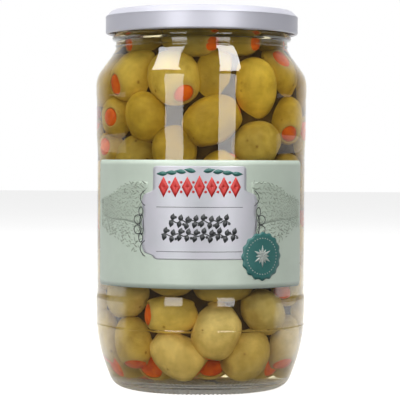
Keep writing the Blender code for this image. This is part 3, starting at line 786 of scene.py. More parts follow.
def first_places(draw):
    """Where the olives start: those in front where they are seen, the rest in rings that fill the jar."""
    places, axes, sizes = [], [], []
    for across, up, back, length, girth, clockwise, out in FRONT_OLIVES:
        radius = wall_radius(up * MM) - girth * MM / 2 - HEAP_CLEARANCE
        angle = seen_angle(across * MM, radius)
        places.append(around(radius - back * MM, angle, up * MM))
        axes.append(facing(angle, clockwise, out))
        sizes.append((length * MM / 2, girth * MM / 2))
    front = np.array(places)
    level = FIRST_RING
    while len(places) < OLIVES:
        for radius, count in RINGS:
            turn = draw.uniform(0, 360)
            radius_here = min(radius, wall_radius(level) - RING_INSET)
            for k in range(count):
                angle = turn + 360 / count * k
                spot = around(radius_here, angle, level + draw.uniform(-RING_SPREAD, RING_SPREAD))
                room = np.linalg.norm(front - spot, axis=1).min()
                if len(places) < OLIVES and room > FRONT_ROOM:
                    places.append(spot)
                    axes.append(facing(angle, draw.uniform(0, 360), draw.uniform(*RING_TILT)))
                    sizes.append((draw.uniform(*OLIVE_LENGTH) / 2, draw.uniform(*OLIVE_GIRTH) / 2))
        level += RING_STEP
        if level > HEAP_TOP:
            level = NEXT_FIRST_RING
    return np.array(places), np.array(axes), np.array(sizes)


def wall_radius(height):
    """The inside radius of the jar at a height between its heel and its rim."""
    radii, heights = np.array(inner_wall()[len(FLOOR_DOME) :]).T
    return float(np.interp(height, heights, radii))


def wall_push(points, reach):
    """How balls of this reach have to move to be clear of the floor, the wall and the top of the heap."""
    wall = np.array([point for point in inner_wall() if point[1] < HEAP_TOP] + [(BORE_RADIUS, HEAP_TOP)])
    start, along = wall[:-1], wall[1:] - wall[:-1]
    size = np.linalg.norm(along, axis=1)
    inward = np.stack((-along[:, 1], along[:, 0]), axis=1) / size[:, None]
    radius = np.maximum(np.hypot(points[:, 0], points[:, 1]), NOTHING)
    flat = np.stack((radius, points[:, 2]), axis=1)
    offset = flat[:, None] - start[None]
    share = np.clip((offset * along).sum(2) / size**2, 0, 1)
    gap = offset - share[..., None] * along
    distance = np.linalg.norm(gap, axis=2)
    nearest = distance.argmin(axis=1)
    row = np.arange(len(points))
    side = (offset[row, nearest] * inward[nearest]).sum(1)
    depth = np.clip(reach + HEAP_CLEARANCE - side, 0, None)
    move = inward[nearest] * depth[:, None]
    push = np.zeros_like(points)
    push[:, :2] = points[:, :2] / radius[:, None] * move[:, :1]
    push[:, 2] = move[:, 1] - np.clip(points[:, 2] + reach - HEAP_TOP, 0, None)
    return push


def ball_centres(places, axes, ends):
    """The middles of the three balls that stand for each olive."""
    return (places[:, None] + axes[:, None] * ends[..., None]).reshape(-1, 3)


def clear_of_wall(places, axes, ends, reach):
    """The places after moving each olive by the strongest push that the wall gives its balls."""
    row = np.arange(len(places))
    for _ in range(CLEAR_ROUNDS):
        push = wall_push(ball_centres(places, axes, ends), reach).reshape(-1, 3, 3)
        strongest = np.linalg.norm(push, axis=2).argmax(axis=1)
        places = places + push[row, strongest]
    return places


def settled_olives():
    """The olives' middles, directions and half sizes, after those that cross are pushed apart."""
    places, axes, sizes = first_places(np.random.default_rng(OLIVE_SEED))
    count, held = len(places), len(FRONT_OLIVES)
    ends = (sizes[:, 0] - BALL_SHARE * sizes[:, 1])[:, None] * np.array((-1.0, 0.0, 1.0))
    reach = (sizes[:, 1][:, None] * np.array((BALL_SHARE, 1.0, BALL_SHARE))).ravel()
    owner = np.repeat(np.arange(count), 3)
    contact = (reach[:, None] + reach[None]) * (owner[:, None] != owner[None])
    places = clear_of_wall(places, axes, ends, reach)
    home, home_axes = places[:held].copy(), axes[:held].copy()
    for turn in range(SETTLE_ROUNDS):
        balls = ball_centres(places, axes, ends)
        between = balls[:, None] - balls[None]
        distance = np.linalg.norm(between, axis=2) + NOTHING
        overlap = np.clip(contact - distance, 0, None)
        push = (between * (overlap / distance)[..., None]).sum(1) * PUSH_SHARE
        push = (push + wall_push(balls, reach)).reshape(count, 3, 3)
        places = places + push.sum(1) * MOVE_SHARE
        swing = np.cross(axes[:, None] * ends[..., None], push).sum(1)
        axes = axes + np.cross(swing, axes) * MOVE_SHARE / (sizes[:, :1] ** 2)
        axes /= np.linalg.norm(axes, axis=1)[:, None]
        places[held:, 2] -= SINK_STEP * (1 - turn / SETTLE_ROUNDS)
        places[:held] += (home - places[:held]) * HOLD_SHARE
        axes[:held] += (home_axes - axes[:held]) * HOLD_SHARE
        axes[:held] /= np.linalg.norm(axes[:held], axis=1)[:, None]
    return clear_of_wall(places, axes, ends, reach), axes, sizes


def ring_points(profile, sides):
    """Points of a turned form about Z from its inner rings, then its two end points."""
    rings = np.array(profile[1:-1])
    turn = np.arange(sides) * math.tau / sides
    spread = np.stack((np.cos(turn), np.sin(turn)), axis=1)
    points = np.empty((len(rings), sides, 3))
    points[..., :2] = rings[:, 0][:, None, None] * spread[None]
    points[..., 2] = rings[:, 1][:, None]
    return np.concatenate((points.reshape(-1, 3), [(0, 0, profile[0][1]), (0, 0, profile[-1][1])]))


def olive_profile(half_length, half_girth, bow, hole):
    """From the far end, over the widest part, round the lip of the hole and down to its floor."""
    lip = hole + HOLE_LIP
    first = math.asin((lip / half_girth) ** (bow / 2))
    turns = np.linspace(math.pi, first, OLIVE_ROWS + 1)
    skin = []
    for t in turns:
        rise = math.copysign(abs(math.cos(t)) ** (2 / bow), math.cos(t))
        skin.append((half_girth * max(0.0, math.sin(t)) ** (2 / bow), half_length * rise))
    skin = [(r, max(z, -half_length * FAR_FLAT)) for r, z in skin]
    skin[0] = (0.0, skin[0][1])
    top = skin[-1][1]
    edge = [(hole + HOLE_LIP * out, top + HOLE_LIP * up) for out, up in LIP_SHAPE]
    return [*skin, *edge, (hole * HOLE_TAPER, top - HOLE_DEPTH), (0.0, top - HOLE_DEPTH)], top


def plug_profile(top, hole, rise):
    """The stuffing, from under the lip of the hole to the middle of its bulging face."""
    reach = hole + HOLE_LIP * PLUG_OVERLAP
    low = top - HOLE_DEPTH * PLUG_LOW
    side = [(0.0, low), (reach * PLUG_FOOT, low), (reach, top - HOLE_LIP * PLUG_EDGE)]
    turns = [share * math.pi / 2 for share in DOME_SHARES]
    dome = [(reach * math.cos(t), top - HOLE_LIP * PLUG_DOME + rise * math.sin(t)) for t in turns]
    dome[-1] = (0.0, dome[-1][1])
    return side + dome


def lumps(points, draw, size, waves):
    """A smooth random height over the points, made of a few waves in random directions."""
    total = np.zeros(len(points))
    for _ in range(LUMP_WAVES):
        way = draw.normal(size=3)
        way *= waves / np.linalg.norm(way)
        total += np.cos(points @ way + draw.uniform(0, math.tau))
    return total * size / LUMP_WAVES


def pressed(points, draw, half_length, half_girth):
    """The olive's skin with a few flat places where others press on it."""
    scale = np.array((half_girth, half_girth, half_length))
    for _ in range(DENTS):
        way = draw.normal(size=3)
        way[2] *= DENT_LEVEL
        way /= np.linalg.norm(way)
        reach = np.linalg.norm(scale * way) * draw.uniform(*DENT_REACH)
        past = np.clip(points @ way - reach, 0, None)
        points = points - way * past[:, None] * DENT_SHARE
    return points


def inside_wall(points):
    """Points moved in, where they are past it, to just inside the jar's wall."""
    wall = np.array(inner_wall(FINE)[len(FLOOR_DOME) :])
    radius = np.hypot(points[:, 0], points[:, 1])
    most = np.interp(points[:, 2], wall[:, 1], wall[:, 0]) - WALL_GAP
    share = np.minimum(1.0, most / np.maximum(radius, NOTHING))
    moved = points.copy()
    moved[:, :2] *= share[:, None]
    moved[:, 2] = np.maximum(moved[:, 2], FLOOR_HEIGHT + WALL_GAP)
    return moved


def core_profile():
    """The painted-shade core in the heap: the jar's inside, drawn in by one fixed step, from its foot over
    its top.
    """
    low, high = FLOOR_HEIGHT + CORE_INSET, HEAP_TOP - CORE_INSET
    heights = np.linspace(high, low, CORE_LEVELS)
    side = [(wall_radius(z) - CORE_INSET, z) for z in heights]
    return [(0.0, high + CORE_DOME), *side, (0.0, low - CORE_DOME)]


def make_heap_shade_core():
    """A dark core of painted shade in the middle of the heap, in place of the olives behind, which shows
    only in the gaps between the olives.
    """
    turned_piece("heap_shade_core", core_profile(), CORE_SIDES, heap_painted_shade(), "olives")


def make_olives():
    """All the olives as one piece, and their stuffing as another."""
    places, axes, sizes = settled_olives()
    draw = np.random.default_rng(SKIN_SEED)
    skins, plugs = [], []
    tones, ends, tones_and_shades = [], [], []
    skin_faces, plug_faces = [], []
    skin_count = plug_count = 0
    for k, (place, axis, (half_length, half_girth)) in enumerate(zip(places, axes, sizes)):
        hole = draw.uniform(*HOLE_RADIUS) * (LOW_HOLE if place[2] < LOW_HEAP else 1.0)
        profile, top = olive_profile(half_length, half_girth, draw.uniform(*OLIVE_BOW), hole)
        skin = ring_points(profile, OLIVE_SIDES)
        high = np.clip((top - skin[:, 2]) / SKIN_CALM, 0, 1)
        grow = 1 + sum(lumps(skin, draw, *wave) for wave in SKIN_LUMPS) * high - SKIN_DRAW * high
        skin = skin * np.stack((grow, grow, np.ones_like(grow)), axis=1)
        skin = pressed(skin, draw, half_length, half_girth)
        stuffing = plug_profile(top, hole, draw.uniform(*PLUG_RISE))
        plug = ring_points(stuffing, PLUG_SIDES)
        plug[:, 2] += lumps(plug, draw, *PLUG_LUMPS) * (plug[:, 2] > top - HOLE_LIP)
        spin = Matrix.Rotation(draw.uniform(0, math.tau), 3, "Z")
        turn = np.array(Vector(axis).to_track_quat("Z", "Y").to_matrix() @ spin)
        skins.append(inside_wall(skin @ turn.T + place))
        plugs.append(inside_wall(plug @ turn.T + place))
        skin_faces += turned_faces(len(profile) - 2, OLIVE_SIDES, skin_count)
        plug_faces += turned_faces(len(stuffing) - 2, PLUG_SIDES, plug_count)
        skin_count += len(skin)
        plug_count += len(plug)
        tones.append(np.full(len(skin), draw.uniform(0, 1)))
        # Painted light and shade: each front olive's listed paleness, 1 for the rest
        tones_and_shades.append(np.full(len(skin), FRONT_TONE_LIGHT_AND_SHADE[k] if k < len(FRONT_TONE_LIGHT_AND_SHADE) else 1.0))
        from_lip = np.hypot(np.hypot(skin[:, 0], skin[:, 1]) - hole, skin[:, 2] - top)
        ends.append(np.clip(1 - from_lip / LIP_FADE, 0, 1))
    points = np.concatenate(skins)
    olives = new_piece("olive_skins", points, skin_faces, olive_skin(), "olives")
    for name, values in (("tone", tones), ("lip", ends), ("pale", tones_and_shades)):
        layer = olives.data.attributes.new(name, "FLOAT", "POINT")
        layer.data.foreach_set("value", np.concatenate(values).astype(np.float32))
    new_piece("stuffing", np.concatenate(plugs), plug_faces, pimiento())


def node_material(name):
    """A material with its node tree, its Principled shader and its output."""
    finish = bpy.data.materials.new(name)
    finish.use_nodes = True
    nodes = finish.node_tree.nodes
    return finish, nodes["Principled BSDF"], nodes["Material Output"]


def add(finish, kind, **values):
    """A new node of a material or a world; values set its properties, or the inputs of these names."""
    node = finish.node_tree.nodes.new(kind)
    for key, value in values.items():
        if hasattr(node, key):
            setattr(node, key, value)
        else:
            node.inputs[key.replace("_", " ")].default_value = value
    return node


def link(finish, source, target):
    finish.node_tree.links.new(source, target)


def place_of(finish):
    """The surface's place in metres, which is the same in every view."""
    return add(finish, "ShaderNodeNewGeometry").outputs["Position"]


def place_along(finish, axis):
    """How far along an axis the surface is."""
    split = add(finish, "ShaderNodeSeparateXYZ")
    link(finish, place_of(finish), split.inputs["Vector"])
    return split.outputs[axis]


def mapped(finish, value, span, low=0.0, high=1.0, **kind):
    """The value with its span brought to low and high."""
    node = add(finish, "ShaderNodeMapRange", **kind)
    for name, number in zip(("From Min", "From Max", "To Min", "To Max"), (*span, low, high)):
        node.inputs[name].default_value = number
    link(finish, value, node.inputs["Value"])
    return node.outputs["Result"]


def noise(finish, scale, detail=3.0, roughness=0.55, stretch=None):
    """A noise value by place."""
    source = place_of(finish)
    if stretch:
        mapping = add(finish, "ShaderNodeMapping")
        mapping.inputs["Scale"].default_value = stretch
        link(finish, source, mapping.inputs["Vector"])
        source = mapping.outputs["Vector"]
    texture = add(finish, "ShaderNodeTexNoise", Scale=scale, Detail=detail, Roughness=roughness)
    link(finish, source, texture.inputs["Vector"])
    return texture.outputs["Fac"]


def ramp(finish, value, stops):
    """Colours by value, from (position, colour) stops."""
    node = add(finish, "ShaderNodeValToRGB")
    elements = node.color_ramp.elements
    while len(elements) < len(stops):
        elements.new(0.5)
    for element, (position, colour) in zip(elements, stops):
        element.position = position
        element.color = (*colour, 1.0) if len(colour) == 3 else colour
    link(finish, value, node.inputs["Fac"])
    return node.outputs["Color"]


def mixed(finish, share, one, two, blend="MIX"):
    """Two colours mixed by a share; each may be a colour, a socket or a number."""
    node = add(finish, "ShaderNodeMix", data_type="RGBA", blend_type=blend)
    for socket, value in ((node.inputs[0], share), (node.inputs[6], one), (node.inputs[7], two)):
        if isinstance(value, bpy.types.NodeSocket):
            link(finish, value, socket)
        elif isinstance(value, tuple):
            socket.default_value = (*value, 1.0)
        else:
            socket.default_value = value
    return node.outputs[2]


def multiplied(finish, one, two):
    return mixed(finish, 1.0, one, two, "MULTIPLY")


def vary_roughness(finish, shader, cloud, low, high):
    """Roughness between two values, by a cloud of noise."""
    link(finish, ramp(finish, cloud, ((0.3, (low,) * 3), (0.7, (high,) * 3))), shader.inputs["Roughness"])


def add_bump(finish, shader, height, strength, distance):
    node = add(finish, "ShaderNodeBump", Strength=strength, Distance=distance)
    link(finish, height, node.inputs["Height"])
    link(finish, node.outputs["Normal"], shader.inputs["Normal"])


def attribute(finish, name):
    return add(finish, "ShaderNodeAttribute", attribute_name=name).outputs["Fac"]


def see_through(name, index, colour):
    """Glass that bends light but lets lamps shine through, and its Glass shader."""
    finish, shader, output = node_material(name)
    finish.node_tree.nodes.remove(shader)
    glass = add(finish, "ShaderNodeBsdfGlass", Roughness=0.0, IOR=index)
    glass.inputs["Color"].default_value = (*colour, 1.0)
    clear = add(finish, "ShaderNodeBsdfTransparent")
    rays = add(finish, "ShaderNodeLightPath")
    mix = add(finish, "ShaderNodeMixShader")
    link(finish, rays.outputs["Is Shadow Ray"], mix.inputs["Fac"])
    link(finish, glass.outputs["BSDF"], mix.inputs[1])
    link(finish, clear.outputs["BSDF"], mix.inputs[2])
    link(finish, mix.outputs["Shader"], output.inputs["Surface"])
    return finish, glass, output


def clear_glass():
    finish, glass, _ = see_through("clear_glass", GLASS_INDEX, GLASS_COLOUR)
    ripples = noise(finish, scale=60.0, detail=2.0, roughness=0.5, stretch=(1.0, 1.0, 2.5))
    add_bump(finish, glass, ripples, strength=0.02, distance=0.002)
    frost = mapped(finish, place_along(finish, "Z"), FROST_FADE, FROST_ROUGHNESS, 0.0)
    link(finish, frost, glass.inputs["Roughness"])
    return finish


def brine_liquid():
    finish, _, output = see_through("brine_liquid", BRINE_INDEX, BRINE_COLOUR)
    depth = add(finish, "ShaderNodeVolumeAbsorption", Density=BRINE_DENSITY)
    depth.inputs["Color"].default_value = BRINE_DEPTH_COLOUR
    link(finish, depth.outputs["Volume"], output.inputs["Volume"])
    return finish


def lid_lacquer():
    finish, shader, _ = node_material("lid_lacquer")
    grain = noise(finish, scale=900.0, detail=2.0, roughness=0.6)
    cloud = noise(finish, scale=24.0, detail=2.0, roughness=0.5)
    link(finish, ramp(finish, cloud, LACQUER_TINTS), shader.inputs["Base Color"])
    vary_roughness(finish, shader, cloud, 0.38, 0.43)
    shader.inputs["Metallic"].default_value = LACQUER_METALLIC
    add_bump(finish, shader, grain, strength=0.08, distance=0.0001)
    return finish


def olive_skin():
    """Cloudy green skin with specks and scars and brown round the hole, with painted light that makes it
    paler low in the jar, and painted light and shade in each front olive's pale value.
    """
    finish, shader, _ = node_material("olive_skin")
    cloud = noise(finish, scale=120.0, detail=4.0, roughness=0.6)
    base = ramp(finish, attribute(finish, "tone"), OLIVE_TINTS)
    colour = multiplied(finish, base, ramp(finish, cloud, OLIVE_CLOUDS))
    for scale, stops, share in OLIVE_MARKS:
        cells = add(finish, "ShaderNodeTexVoronoi", Scale=scale)
        link(finish, place_of(finish), cells.inputs["Vector"])
        marks = ramp(finish, cells.outputs["Distance"], stops)
        colour = mixed(finish, share, colour, multiplied(finish, colour, marks))
    # Painted light: paler and greyer towards the bottom of the jar
    height = mapped(finish, place_along(finish, "Z"), (0.0, JAR_MIDDLE))
    colour = multiplied(finish, colour, ramp(finish, height, LOW_PAINTED_LIGHT_TINTS))
    # Painted light and shade: the colour scaled by each olive's pale value
    scaled = add(finish, "ShaderNodeVectorMath", operation="SCALE")
    link(finish, colour, scaled.inputs[0])
    link(finish, attribute(finish, "pale"), scaled.inputs["Scale"])
    colour = mixed(finish, attribute(finish, "lip"), scaled.outputs["Vector"], LIP_COLOUR)
    link(finish, colour, shader.inputs["Base Color"])
    vary_roughness(finish, shader, cloud, 0.38, 0.52)
    shader.inputs["Specular IOR Level"].default_value = OLIVE_SHINE
    wrinkles = noise(finish, scale=190.0, detail=5.0, roughness=0.62)
    add_bump(finish, shader, wrinkles, strength=0.45, distance=0.0012)
    return finish


# Painted shade: dark browns for the deep gaps between the olives
def heap_painted_shade():
    finish, shader, _ = node_material("heap_painted_shade")
    cloud = noise(finish, scale=140.0, detail=3.0, roughness=0.6)
    link(finish, ramp(finish, cloud, HEAP_SHADE_TINTS), shader.inputs["Base Color"])
    vary_roughness(finish, shader, cloud, 0.6, 0.8)
    shader.inputs["Specular IOR Level"].default_value = 0.0
    return finish


def pimiento():
    finish, shader, _ = node_material("pimiento")
    cloud = noise(finish, scale=300.0, detail=4.0, roughness=0.6)
    link(finish, ramp(finish, cloud, PEPPER_TINTS), shader.inputs["Base Color"])
    vary_roughness(finish, shader, cloud, 0.30, 0.45)
    shader.inputs["Specular IOR Level"].default_value = PEPPER_SHINE
    add_bump(finish, shader, cloud, strength=0.25, distance=0.0004)
    return finish


def paper(name):
    """Coated paper or ink: two close colours in soft clouds, with a fine grain."""
    light, dark, gloss, metallic = PAPERS[name]
    finish, shader, _ = node_material(name)
    cloud = noise(finish, scale=90.0, detail=4.0, roughness=0.6)
    link(finish, ramp(finish, cloud, ((0.35, dark), (0.65, light))), shader.inputs["Base Color"])
    vary_roughness(finish, shader, cloud, gloss, gloss + ROUGHNESS_SPREAD)
    shader.inputs["Metallic"].default_value = metallic
    fibres = noise(finish, scale=1400.0, detail=2.0, roughness=0.6)
    add_bump(finish, shader, fibres, strength=0.10, distance=0.0001)
    return finish


def on_label(across, up, lift):
    """A point of the label by its distance round from -Y and its height, in millimetres."""
    return around(LABEL_OUTER + lift, math.degrees(across * MM / LABEL_OUTER), up * MM)


class Print:
    """Flat shapes in millimetres round and up the label, which become one thin curved piece."""

    def __init__(self):
        self.points = []
        self.faces = []

    def grid(self, rows):
        """A patch from rows of points, all of one length."""
        start, wide = len(self.points), len(rows[0])
        for row in rows:
            self.points += row
        for k in range(len(rows) - 1):
            for j in range(wide - 1):
                a = start + k * wide + j
                self.faces.append((a, a + 1, a + wide + 1, a + wide))

    def stroke(self, path, width):
        """A line of this width along a path."""
        path = np.array(path, float)
        way = np.gradient(path, axis=0)
        way /= np.linalg.norm(way, axis=1)[:, None] + LEAST
        side = np.stack((-way[:, 1], way[:, 0]), axis=1)
        widths = np.broadcast_to(width, len(path))[:, None] / 2
        left, right = path + side * widths, path - side * widths
        self.grid([[tuple(a), tuple(b)] for a, b in zip(right, left)])

    def leaf(self, foot, angle, length, width):
        """A pointed leaf from its foot, at an angle in degrees from rightwards."""
        a = math.radians(angle)
        way = np.array((math.cos(a), math.sin(a)))
        steps = range(LEAF_STEPS + 1)
        path = [np.array(foot) + way * length * k / LEAF_STEPS for k in steps]
        shares = [math.sin(math.pi * (k / LEAF_STEPS) ** LEAF_BELLY) for k in steps]
        self.stroke(path, [width * max(LEAF_BLUNT, share) for share in shares])

    def disc(self, middle, edge, rings=2):
        """A filled closed outline round a middle point, from its edge radius by angle."""
        turns = [math.tau * k / len(edge) for k in range(len(edge) + 1)]
        reach = [*edge, edge[0]]
        rows = []
        x, y = middle
        for ring in range(rings + 1):
            share = max(DISC_CENTRE, ring / rings)
            polar = [(share * r, t) for r, t in zip(reach, turns)]
            rows.append([(x + r * math.cos(t), y + r * math.sin(t)) for r, t in polar])
        self.grid(rows[::-1])

    def piece(self, name, ink):
        """The shapes as one thin closed piece, on its own layer above the label."""
        finish = paper(ink)
        points = [on_label(across, up, INK * LAYERS[name]) for across, up in self.points]
        made = new_piece(name, points, self.faces, finish)
        depth = made.modifiers.new("Thickness", "SOLIDIFY")
        depth.thickness = INK * INK_SHARE
        depth.offset = -1.0


def plaque_half(up):
    """The plaque's half width at a height: narrow at top and foot, wide between, with round corners."""
    narrow = PLAQUE_NARROW
    for near in (PLAQUE_TOP - up, up - PLAQUE_BOTTOM):
        if near < PLAQUE_CORNER:
            narrow -= PLAQUE_CORNER - math.sqrt(max(0.0, PLAQUE_CORNER**2 - (PLAQUE_CORNER - near) ** 2))
    along_side = (up - PLAQUE_LOW_STEP) / (PLAQUE_STEP - PLAQUE_LOW_STEP)
    wide = PLAQUE_WIDE - PLAQUE_WAVE * math.cos(along_side * math.tau * PLAQUE_WAVES)
    high = 1 / (1 + math.exp((up - PLAQUE_STEP) / PLAQUE_SOFT))
    low = 1 / (1 + math.exp((PLAQUE_LOW_STEP - up) / PLAQUE_LOW_SOFT))
    return narrow + (wide - narrow) * high * low


def make_plaque():
    plaque = Print()
    rows = []
    for k in range(PLAQUE_ROWS + 1):
        up = PLAQUE_BOTTOM + (PLAQUE_TOP - PLAQUE_BOTTOM) * k / PLAQUE_ROWS
        half = plaque_half(up)
        columns = range(2 * PLAQUE_COLUMNS + 1)
        rows.append([(PLAQUE_MIDDLE + half * (j / PLAQUE_COLUMNS - 1), up) for j in columns])
    plaque.grid(rows)
    plaque.piece("plaque", "plaque_foil")


def scroll(side):
    """One side of the frame's scrollwork: hooks at its corners and a chain of loops between."""
    paths = []
    for corner, up_way in ((PLAQUE_STEP, -1), (PLAQUE_LOW_STEP, 1)):
        path = []
        for k in range(HOOK_STEPS + 1):
            t = k / HOOK_STEPS
            across = PLAQUE_WIDE - HOOK_INSET + HOOK_REACH * math.sin(math.pi * t) ** HOOK_BEND
            path.append((across, corner + up_way * (HOOK_START + HOOK_LENGTH * t)))
        paths.append(path)
    turns = [math.tau * k / LOOP_STEPS for k in range(LOOP_STEPS + 1)]
    for up, across, wide, tall in SCROLL_LOOPS:
        paths.append([(across + wide * math.cos(t), up + tall * math.sin(t)) for t in turns])
    return [[(PLAQUE_MIDDLE + side * across, up) for across, up in path] for path in paths]


def make_dark_ink():
    """The two rules, the scrollwork and two leafy rows in the middle."""
    ink = Print()
    half_rule = range(2 * HOOK_STEPS + 1)
    for up in RULES:
        rule = [(PLAQUE_MIDDLE + RULE_HALF * (k / HOOK_STEPS - 1), up) for k in half_rule]
        ink.stroke(rule, RULE_WIDTH)
    for side in (-1, 1):
        for path in scroll(side):
            ink.stroke(path, SCROLL_WIDTH)
    for up, half, leaves in LEAF_ROWS:
        steps = np.arange(STEM_STEPS + 1)
        across_stem = PLAQUE_MIDDLE + half * (steps * 2 / STEM_STEPS - 1)
        stem = list(zip(across_stem, up + STEM_WAVE * np.sin(steps * STEM_TURN)))
        ink.stroke(stem, STEM_WIDTH)
        for k in range(leaves):
            across, height = stem[int((k + 0.5) / leaves * STEM_STEPS)]
            for way in (-1, 1):
                ink.leaf((across, height), 90 * way - ROW_LEAF_LEAN, *ROW_LEAF)
            berry = (across + BERRY_ACROSS, height + BERRY_RISE * (-1) ** k)
            ink.disc(berry, [BERRY_RADIUS] * BERRY_SIDES, 1)
    ink.piece("dark_ink", "dark_ink")


def make_red_ink():
    """A row of red lozenges with small dots between, where the plaque's head is."""
    ink = Print()
    for k in range(LOZENGES):
        across = PLAQUE_MIDDLE + (k - (LOZENGES - 1) / 2) * LOZENGE_PITCH
        tall = LOZENGE_TALLEST if k == LOZENGES // 2 else LOZENGE_TALL
        turns = [math.tau * j / LOZENGE_POINTS for j in range(LOZENGE_POINTS)]
        edge = [1 / (abs(math.cos(a)) / LOZENGE_HALF + abs(math.sin(a)) / tall) for a in turns]
        ink.disc((across, LOZENGE_HEIGHT), edge, 2)
        if k < LOZENGES - 1:
            for up in DOT_HEIGHTS:
                ink.disc((across + LOZENGE_PITCH / 2, up), [DOT_RADIUS] * DOT_SIDES, 1)
    ink.piece("red_ink", "red_ink")


def make_green_ink():
    """Two rows of long leaves over the lozenges."""
    ink = Print()
    for way in (-1, 1):
        for k in range(SPRIG_LEAVES):
            across = PLAQUE_MIDDLE + way * (SPRIG_START + SPRIG_PITCH * k)
            lean = SPRIG_LEAN[0] + SPRIG_LEAN[1] * k
            ink.leaf((across, SPRIG_HEIGHT - SPRIG_DROP * k), 90 - way * lean, *SPRIG_LEAF)
    ink.piece("green_ink", "green_ink")


def make_seal():
    """A round seal with a scalloped edge, and a ring of dashes and a star on it."""
    seal = Print()
    turns = [SCALLOPS * math.tau * k / SEAL_POINTS for k in range(SEAL_POINTS)]
    seal.disc(SEAL_MIDDLE, [SEAL_RADIUS + SCALLOP_DEPTH * math.cos(turn) for turn in turns], SEAL_RINGS)
    seal.piece("seal", "seal_ink")
    mark = Print()
    x, y = SEAL_MIDDLE
    for k in range(DASHES):
        a = math.tau * k / DASHES
        mark.disc((x + DASH_RADIUS * math.cos(a), y + DASH_RADIUS * math.sin(a)), [*DASH_EDGE] * 4, 1)
    for k in range(STAR_RAYS):
        mark.leaf(SEAL_MIDDLE, 360 / STAR_RAYS * k, STAR_REACH[k % 2], STAR_WIDTH)
    mark.piece("seal_mark", "seal_mark_ink")


def contour(side, row, share):
    """A spot on one of the fanned rows beside the plaque, by its share of the way outwards."""
    across = FAN_INNER + (FAN_OUTER - FAN_INNER) * share
    inner, outer = (top - drop * row for top, drop in zip(FAN_TOPS, FAN_DROPS))
    hump = FAN_HUMP * math.sin(math.pi * min(1.0, share * FAN_HUMP_RUN)) * (1 - row)
    return side * across + PLAQUE_MIDDLE, inner + (outer - inner) * share + hump


def make_leaf_print():
    """Soft grey-green rows of small leaves that fan out on both sides of the plaque, on a pale ground."""
    draw = np.random.default_rng(ORNAMENT_SEED)
    ground, deep, pale = Print(), Print(), Print()
    for side in (-1, 1):
        rows = []
        for k in range(FAN_ROWS + 1):
            row = FAN_GROUND[0] + (FAN_GROUND[1] - FAN_GROUND[0]) * k / FAN_ROWS
            rows.append([contour(side, row, j / FAN_COLUMNS) for j in range(FAN_COLUMNS + 1)][::side])
        ground.grid(rows)
        for k in range(FAN_ROWS):
            row = (k + 0.5) / FAN_ROWS
            for j in range(FAN_LEAVES):
                share = (j + draw.uniform(*FAN_SPREAD)) / FAN_LEAVES
                foot = contour(side, row + draw.uniform(-FAN_SHIFT, FAN_SHIFT), share)
                tip = contour(side, row, share + FAN_AHEAD)
                angle = math.degrees(math.atan2(tip[1] - foot[1], tip[0] - foot[0]))
                size = draw.uniform(*FAN_LEAF) * (FAN_LEAF_SHRINK[0] - FAN_LEAF_SHRINK[1] * share)
                chance = draw.uniform()
                ink = deep if chance < FAN_DEEP * math.cos(math.pi * row) ** 2 else pale
                if chance < FAN_THIN - row:
                    lean = (-1) ** j * draw.uniform(*FAN_LEAN)
                    ink.leaf(foot, angle + lean, size, size * FAN_LEAF_WIDTH)
    ground.piece("leaf_ground", "leaf_ground_ink")
    pale.piece("leaf_print_pale", "leaf_ink_pale")
    deep.piece("leaf_print_deep", "leaf_ink_deep")


def make_label():
    """The paper, with round corners, as a thin closed sheet."""
    length = math.radians(LABEL_ARC) * LABEL_OUTER
    runs = [length * k / LABEL_COLUMNS for k in range(LABEL_COLUMNS + 1)]
    turns = [math.pi / 2 * k / LABEL_CORNER_STEPS for k in range(1, LABEL_CORNER_STEPS)]
    corner = [LABEL_CORNER * (1 - math.cos(a)) for a in turns]
    inner = [run for run in runs if LABEL_CORNER < run < length - LABEL_CORNER]
    first = LABEL_CORNER * LABEL_FIRST_SHARE
    runs = [first, *corner, LABEL_CORNER, *inner, length - LABEL_CORNER]
    runs += [length - run for run in reversed(corner)] + [length - first]
    points, faces = [], []
    for radius in (LABEL_INNER, LABEL_OUTER):
        for run in runs:
            angle = LABEL_TURN + LABEL_ARC * (run / length - 0.5)
            near = min(run, length - run)
            inset = 0.0
            if near < LABEL_CORNER:
                inset = LABEL_CORNER - math.sqrt(LABEL_CORNER**2 - (LABEL_CORNER - near) ** 2)
            low, high = LABEL_BOTTOM + inset, LABEL_TOP - inset
            heights = [low + (high - low) * k / LABEL_ROWS for k in range(LABEL_ROWS + 1)]
            points += [around(radius, angle, height) for height in heights]
    tall = LABEL_ROWS + 1
    half = len(runs) * tall
    for j in range(len(runs) - 1):
        for k in range(LABEL_ROWS):
            a = j * tall + k
            faces.append((half + a, half + a + tall, half + a + tall + 1, half + a + 1))
            faces.append((a, a + 1, a + tall + 1, a + tall))
        for k, flip in ((0, False), (LABEL_ROWS, True)):
            a, b = j * tall + k, (j + 1) * tall + k
            face = (a, b, half + b, half + a)
            faces.append(face[::-1] if flip else face)
    for j, flip in ((0, True), (len(runs) - 1, False)):
        for k in range(LABEL_ROWS):
            a = j * tall + k
            face = (a, a + 1, half + a + 1, half + a)
            faces.append(face[::-1] if flip else face)
    new_piece("label_sheet", points, faces, paper("label_paper"), "label")


